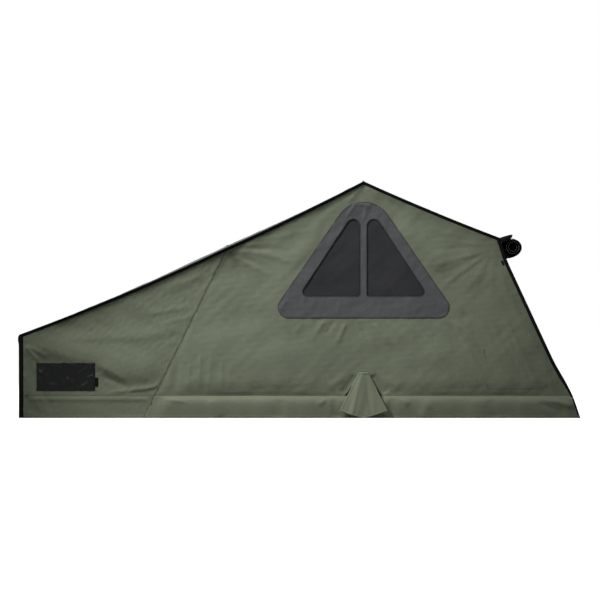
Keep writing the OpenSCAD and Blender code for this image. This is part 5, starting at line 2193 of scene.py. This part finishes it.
    def add_buckle(self, cutting: Cutting, y: float, centre: Array, reach: float) -> None:
        """Adds a ladder buckle on the outer side of a strap.

        Args:
            cutting: Where the faces go.
            y: Y of the strap.
            centre: Middle of the roll.
            reach: Distance from there to the strap.
        """
        half, tall, deep = self.strap_w / 2.0 + 0.003, 0.015, 0.005
        out = np.array([math.cos(1.15), math.sin(1.15)])
        along = np.array([-out[1], out[0]])
        middle = centre + out * (reach + deep * 0.6)
        for bar in (-1.0, 0.0, 1.0):
            at = middle + along * bar * (tall - 0.002)
            self.add_bar(cutting, (y - half, y + half), at, out * deep * 0.5, along * 0.0022, 0.7)
        for side in (-1.0, 1.0):
            ends = (y + side * half - 0.002, y + side * half + 0.002)
            self.add_bar(cutting, ends, middle, out * deep * 0.6, along * tall, 0.8)


@dataclass(frozen=True)
class EndVisor:
    """Rain flap that stands out over the roll of the right end."""

    shop: Workshop
    face: PathFace
    length: float = 1.40
    reach: float = 0.071
    low: float = 0.0036
    line: tuple[Point, ...] = (
        (0.0070, 0.0), (0.0075, 0.28), (0.0080, 0.53), (0.0110, 0.78), (0.0150, 0.95), (0.0190, 1.0),
        (0.0240, 0.965), (0.0310, 0.84), (0.0350, 0.73),
    )

    def build(self) -> None:
        """Builds the flap with its closed ends, black sheets that stand for the shade in the gap under it.
        """
        bent = [(s, self.low + n * self.reach) for s, n in self.line]
        path, end = resampled(bent, 0.004), self.length / 2.0
        travel, across = travelled(path), np.linspace(-end, end, 96)
        maps = np.stack(np.meshgrid(across, travel, indexing="ij"), axis=2)
        flat = maps.reshape(-1, 2)
        free = smoothstep(end - np.abs(flat[:, 0]), 0.0, 0.08) * flat[:, 1] / travel[-1]
        wave = Ripples(0.0035, 0.16, 17, (1.0, 3.0)).lift(flat) * free
        down, out = np.tile(path, (len(across), 1)).T
        places = self.face.place(np.column_stack([flat[:, 0], down + wave * 0.4]), out + wave)
        cutting = Cutting()
        cutting.grid(places.reshape(*maps.shape[:2], 3), maps, not self.face.turned)
        # The closed ends are black sheets across the gap between the flap and the roll: painted shade of
        # that gap
        rim = np.array([*bent, (0.0400, self.low)])
        turn = tuple(range(len(rim)))
        for side, face in ((-1.0, turn), (1.0, turn[::-1])):
            cutting.add(self.face.profile(side * (end - 0.0008), rim), [face], rim)
        self.shop.sheet(
            cutting, "end_visor_cloth", "end_visor", Held.HUNG, ["end_wall_cloth"],
            (self.length, float(travel[-1])), None, Stuff.FLAP, 0.0016,
        )


# ---- small sewn parts


@dataclass
class HingeHood:
    """Cloth hood over the hinge on one side."""

    shop: Workshop
    side: Side
    step: float = 0.006
    hem_half: float = 0.0045

    def build(self) -> None:
        """Builds the hood, its hems and their stitching."""
        face, word = HoodFace(self.side), self.side.word
        ring = face.outline()
        self.shop.sheet(
            Cutting().panel(face, ring, self.step, lift=0.0010), f"{word}_hinge_hood_cloth",
            f"{word}_hinge_hood", Held.HUNG, [f"{word}_cabin_cloth"], *flat_cut(ring),
        )
        hems, rows = Cutting(), Cutting()
        left = [(-face.top_half, face.top), (-face.low_half, face.corner)]
        right = [(face.low_half, face.corner), (face.top_half, face.top)]
        low = [p for p in ring if p[1] < face.corner + 0.002]
        for path in (left, right, low):
            hems.tape(face, path, tape_section(self.hem_half, 0.0016, self.hem_half, 0.0010))
            rows.stitches(face, path, 0.0075, lift=0.0026)
        level = face.top - 0.004
        hems.tape(face, [(-face.top_half, level), (face.top_half, level)], tape_section(0.005, 0.0030))
        self.shop.dress(hems.make(f"{word}_hinge_hood_hems"), Stuff.OLIVE)
        self.shop.dress(rows.make(f"{word}_hinge_hood_stitches"), Stuff.THREAD)


@dataclass
class SewnParts:
    """Coated patches, corner patches, tabs and pockets, each on both sides."""

    shop: Workshop
    outline: TentOutline
    walls: Sequence[SideWall]
    patch_low: Point = (-1.804, 0.151)
    patch_size: Point = (0.323, 0.153)
    patch_hem: float = 0.004
    corner_gap: float = 0.0126
    corner_strip: float = 0.2
    tab_half: float = 0.0065
    tab_length: float = 0.026
    pocket_low: Point = (0.670, 0.160)
    pocket_size: Point = (0.342, 0.193)

    def build_patches(self) -> None:
        """Creased glossy patch low on each canopy wall, with a side tab."""
        (x, z), (w, h), hem = self.patch_low, self.patch_size, self.patch_hem
        ring = box_ring((x, z), (x + w, z + h))
        inner = box_ring((x + hem, z + hem), (x + w - hem, z + h - hem))
        creases = (
            *folds(
                (8, 120, 95, 4, 68, 7, 11, 15, 20), (30, 146, 120, 35, -48, 7, 10, 15, 20),
                (75, 148, 150, 6, 64, 8, 12, 15, 30), (160, 75, 225, 4, 68, 7, 10, 15, 20),
                (140, 146, 215, 65, -48, 8, 10, 20, 30), (316, 147, 215, 85, 68, 7, 11, 15, 30),
                (318, 85, 275, 65, 64, 7, 10, 15, 30), (300, 60, 235, 10, 48, 6, 10, 15, 30),
                (4, 30, 60, 147, 48, 7, 11, 15, 30), (235, 147, 265, 15, -48, 8, 12, 20, 20),
                (175, 149, 260, 128, 48, 6, 9, 20, 30), (12, 105, 85, 70, 60, 8, 12, 20, 30),
                (40, 45, 130, 18, 60, 8, 11, 20, 30), (80, 138, 165, 112, 52, 8, 11, 20, 30),
                (160, 60, 215, 28, 56, 7, 11, 20, 30),
                at=(x, z),
            ),
            Ripples(0.0012, 0.055, 51),
        )
        cutting, rows, tabs = Cutting(), Cutting(), Cutting()
        middle, tab_x, row_x = z + 0.0475, x + w + 0.009, x + w + 0.004
        for wall in self.walls:
            own = PinnedRelief(creases, ring, 0.005, 0.012, -0.0014)
            face = LayeredFace(wall.side, wall.canopy_face, own)
            cutting.panel(face, ring, 0.0032, lift=0.0022)
            rows.stitches(face, inner, 0.0, True, lift=0.0024)
            tab = [(tab_x, middle - 0.024), (tab_x, middle + 0.024)]
            tabs.tape(wall.canopy_face, tab, tape_section(0.009, 0.003))
            rows.stitches(wall.canopy_face, [(row_x, middle - 0.022), (row_x, middle + 0.022)], lift=0.0034)
        self.shop.sheet(
            cutting, "coated_patches", "canopy_patches", Held.STRETCHED, ["near_canopy_cloth"],
            (w, 2.0 * h), None, Stuff.PATCH, 0.0016,
        )
        self.shop.dress(tabs.make("coated_patch_tabs"), Stuff.BINDING)
        self.shop.dress(rows.make("coated_patch_stitches"), Stuff.WEBBING)

    def under(self, span: RoofSpan, *places: float) -> list[Point]:
        """Points a little under a roof span's edge, at places along X."""
        x, z = np.array(self.outline.edge(span)).T
        return [(place, float(np.interp(place, x, z)) - self.corner_gap) for place in places]

    def build_corners(self) -> None:
        """Doubled cloth at the tops of the outer bows."""
        a, b = self.under(self.outline.left_span, -0.749, -0.684)
        c, d = self.under(self.outline.right_span, 0.692, 0.726)
        rings = ([a, (-0.790, 0.836), (b[0], 0.834), b], [c, (c[0], 0.8805), (0.777, 0.8805), d])
        cutting, rows = Cutting(), Cutting()
        for wall in self.walls:
            for ring in rings:
                cutting.panel(wall.cabin_face, ring, 0.008, lift=-0.0022)
                rows.stitches(wall.cabin_face, ring, 0.004, True, lift=0.0007)
        self.shop.sheet(
            cutting, "bow_corner_patches", "corner_patches", Held.STRETCHED, ["near_cabin_cloth"],
            (self.corner_strip, 2.0 * total_area(rings) / self.corner_strip), thickness=NET_T,
        )
        self.shop.dress(rows.make("bow_corner_stitches"), Stuff.OLIVE)

    def build_tabs(self) -> None:
        """Small black loops under the right bow's top."""
        x, z = self.outline.right_top
        turn = math.radians(25.0)
        side, up = np.array([math.cos(turn), math.sin(turn)]), np.array([-math.sin(turn), math.cos(turn)])
        start = np.array([x + 0.020, z - 0.155]) + side * self.tab_half
        path = [tuple(start), tuple(start + up * self.tab_length)]
        cutting = Cutting()
        for wall in self.walls:
            cutting.tape(wall.cabin_face, path, tape_section(self.tab_half, 0.0022))
        self.shop.dress(cutting.make("tie_back_tabs"), Stuff.WEBBING, ["strap_tabs"])

    def pocket_ring(self) -> list[Point]:
        """Outline of the pocket, with cut lower corners."""
        (x, z), (w, h) = self.pocket_low, self.pocket_size
        cut = z + 0.022
        return [(x + 0.031, z), (x + w - 0.027, z), (x + w, cut), (x + w, z + h), (x, z + h), (x, cut)]

    def build_pockets(self) -> None:
        """Inner pocket, whose stitches show on the outside of the wall."""
        ring = self.pocket_ring()
        cutting, rows, dots, line = Cutting(), Cutting(), Cutting(), Cutting()
        x, z = ring[4]
        for wall in self.walls:
            cutting.panel(wall.cabin_face, ring, 0.012, lift=-0.0024)
            rows.tape(wall.cabin_face, [ring[5], *ring[:3]], tape_section(0.0010, 0.0004))
            rows.stitches(wall.cabin_face, [*ring[4:], *ring[:4]], 0.0032, lift=0.0006, pitch=0.008)
            # Darker strip along the pocket's slit: painted shade inside the slit
            slit = [(x - 0.004, z - 0.004), (x - 0.004, z + 0.026)]
            line.tape(wall.cabin_face, slit, tape_section(0.0024, 0.0014))
            for k in range(7):
                low = z - 0.060 - 0.014 * k
                dots.stitches(wall.cabin_face, [(x + 0.003, low + 0.009 * j) for j in range(3)], lift=0.0012)
            for at in (-1.481, -1.470, -1.459):
                dots.stitches(wall.canopy_face, [(at, 0.372 + 0.004 * j) for j in (-1, 0, 1)], lift=0.0008)
        (width, length), area = flat_cut(ring)
        self.shop.sheet(
            cutting, "inner_pockets", "side_pockets", Held.HUNG, ["near_cabin_cloth"],
            (width, 2.0 * length), 2.0 * area, thickness=NET_T,
        )
        self.shop.dress(rows.make("pocket_stitches"), Stuff.THREAD)
        self.shop.dress(dots.make("bar_tacks"), Stuff.PALE_THREAD)
        self.shop.dress(line.make("pocket_shade_lines"), Stuff.SEAM)

    def build(self) -> None:
        """Builds every small part."""
        self.build_patches()
        self.build_corners()
        self.build_tabs()
        self.build_pockets()


# ---- frame


@dataclass(frozen=True)
class FrameDressing:
    """Finishes of the metal and board parts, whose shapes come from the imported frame."""

    shop: Workshop
    nodes: dict[str, bpy.types.Object]
    finishes: tuple[tuple[Stuff, tuple[str, ...]], ...] = (
        (Stuff.BOARD, ("left_floor", "right_floor")),
        (Stuff.CHANNEL, ("left_base_frame", "right_base_frame", "mounting_rails", "canopy_sockets")),
        (Stuff.STEEL, ("left_hinge_leaves", "right_hinge_leaves", "pivot_pins")),
        (Stuff.TUBE, ("left_bow", "centre_bow", "right_bow", "canopy_rails", "canopy_hoop")),
    )

    def build(self) -> None:
        """Puts the finishes on the nodes' material slots."""
        for stuff, names in self.finishes:
            for name in names:
                for place in self.nodes[name].material_slots:
                    place.material = self.shop.materials[stuff]
                LOG.info("%s: finished in %s", name, stuff.value)


# ---- stage


@dataclass(frozen=True)
class Studio:
    """Floor, soft light and camera."""

    metre_per_pixel: float = 0.005517
    pixels: int = 600
    distance: float = 20.0
    sensor: float = 36.0
    middle: Point = (-0.3503, 0.6510)
    near_y: float = -0.725
    floor_half: float = 60.0
    floor_z: float = -0.001

    @staticmethod
    def seen_or_not(sketch: NodeSketch, hidden: Node, seen: Node) -> Socket:
        """Mixes two shaders by what looks at them.

        Args:
            sketch: Sketch of their tree.
            hidden: Shader for light that bounces.
            seen: Shader for the camera, straight, in a reflection or through something clear.

        Returns:
            The mixed shader.
        """
        path = sketch.add("ShaderNodeLightPath")
        rays = sketch.math("MAXIMUM", path.outputs["Is Camera Ray"], path.outputs["Is Glossy Ray"])
        rays = sketch.math("MAXIMUM", rays, path.outputs["Is Transmission Ray"])
        return sketch.result("ShaderNodeMixShader", rays, hidden.outputs[0], seen.outputs[0])

    def build_floor(self) -> None:
        """White floor that keeps the tent's shadow."""
        mesh = bpy.data.meshes.new("studio_floor")
        ring = box_ring((-self.floor_half, -self.floor_half), (self.floor_half, self.floor_half))
        mesh.from_pydata([(x, y, 0.0) for x, y in ring], [], [(0, 1, 2, 3)])
        floor = new_object("studio_floor", mesh)
        floor.location.z = self.floor_z
        material, sketch, shader = new_material("studio_floor_white")
        sketch.set(shader, Base_Color=(0.32, 0.32, 0.32, 1.0), Roughness=0.9, Specular_IOR_Level=0.0)
        glow = sketch.set(sketch.add("ShaderNodeEmission"), Strength=0.96)
        shade = sketch.set(sketch.add("ShaderNodeBsdfDiffuse"), Color=(0.5, 0.5, 0.5, 1.0))
        both = sketch.add("ShaderNodeAddShader")
        sketch.feed(glow.outputs[0], both.inputs[0])
        sketch.feed(shade.outputs[0], both.inputs[1])
        output = next(n for n in material.node_tree.nodes if n.type == "OUTPUT_MATERIAL")
        sketch.feed(self.seen_or_not(sketch, shader, both), output.inputs["Surface"])
        mesh.materials.append(material)

    def build_world(self) -> None:
        """Even light from all round, white where the camera sees it."""
        world = bpy.data.worlds.new("studio_world")
        world.use_nodes = True
        bpy.context.scene.world = world
        sketch = NodeSketch(world.node_tree)
        world.node_tree.nodes.clear()
        around, seen = sketch.add("ShaderNodeBackground"), sketch.add("ShaderNodeBackground")
        sketch.set(around, Color=(0.95, 0.98, 1.0, 1.0), Strength=0.125)
        sketch.set(seen, Color=(1.0, 1.0, 1.0, 1.0))
        result = sketch.add("ShaderNodeOutputWorld")
        sketch.feed(self.seen_or_not(sketch, around, seen), result.inputs["Surface"])

    def lamp(
        self, kind: str, name: str, place: Sequence[float], aim: Sequence[float],
        power: float, **settings: float,
    ) -> None:
        """Hangs a lamp, turned to what it lights.

        Args:
            kind: Kind of lamp.
            name: Its name.
            place: Where it hangs.
            aim: What it is turned to.
            power: Its power, in watts.
            settings: Sizes of the lamp.
        """
        data = bpy.data.lights.new(name, kind)
        data.energy = power
        for key, value in settings.items():
            setattr(data, key, value)
        obj = new_object(name, data)
        obj.location = place
        obj.rotation_euler = (Vector(aim) - Vector(place)).to_track_quat("-Z", "Y").to_euler()

    def build_lamps(self) -> None:
        """Soft key from the upper left, and weak lights from behind and the right."""
        spots = (
            ("key_lamp", (-2.5, -2.25, 3.4), (-0.75, -0.725, 0.95), 1200.0, 56.0),
            ("fill_lamp", (1.4, -3.2, 3.2), (0.38, -0.725, 0.95), 230.0, 28.0),
        )
        for *lamp, cone in spots:
            self.lamp("SPOT", *lamp, shadow_soft_size=0.40, spot_size=math.radians(cone), spot_blend=1.0)
        self.lamp("AREA", "right_lamp", (5.0, -1.0, 3.0), (0.3, 0.0, 0.6), 60.0, size=3.0)
        self.lamp("AREA", "back_lamp", (0.0, 5.5, 4.5), (0.0, 0.0, 0.6), 380.0, size=3.0)

    def build_camera(self) -> None:
        """Long lens, square on to the near side."""
        data = bpy.data.cameras.new("side_camera")
        data.sensor_width = self.sensor
        data.lens = self.sensor * self.distance / (self.pixels * self.metre_per_pixel)
        data.clip_end = 200.0
        camera = new_object("side_camera", data)
        camera.location = (self.middle[0], self.near_y - self.distance, self.middle[1])
        camera.rotation_euler = (math.pi / 2.0, 0.0, 0.0)
        bpy.context.scene.camera = camera
        bpy.context.scene.view_settings.view_transform = "Standard"

    def build(self) -> None:
        """Builds the whole studio."""
        self.build_floor()
        self.build_world()
        self.build_lamps()
        self.build_camera()


def main() -> None:
    """Builds the tent's pieces in order."""
    logging.basicConfig(level=logging.INFO, format="%(name)s: %(message)s")
    Studio().build()
    shop, outline, window = Workshop(), TentOutline(), WindowShape()
    walls = [SideWall(shop, outline, side, window) for side in Side]
    for wall in walls:
        wall.build()
        Binding(shop, outline, wall).build()
        HingeHood(shop, wall.side).build()
    SewnParts(shop, outline, walls).build()
    RoofCover(shop, outline).build()
    ends = EndCloths(shop, outline)
    ends.build()
    EndVisor(shop, ends.end_line).build()
    RolledFlap(
        shop, ends.end_line, "end_rolled_flap", "end_flap_roll", "end_roll_straps", 0.0, 0.0495, 0.018,
        middle=0.0825,
    ).build()
    RolledFlap(
        shop, ends.door_face, "doorway_rolled_flap", "entrance_flap_roll", "entrance_roll_straps",
        0.015, 0.034, 0.016,
    ).build()
    FrameDressing(shop, frame["nodes"]).build()


if __name__ == "__main__":
    main()
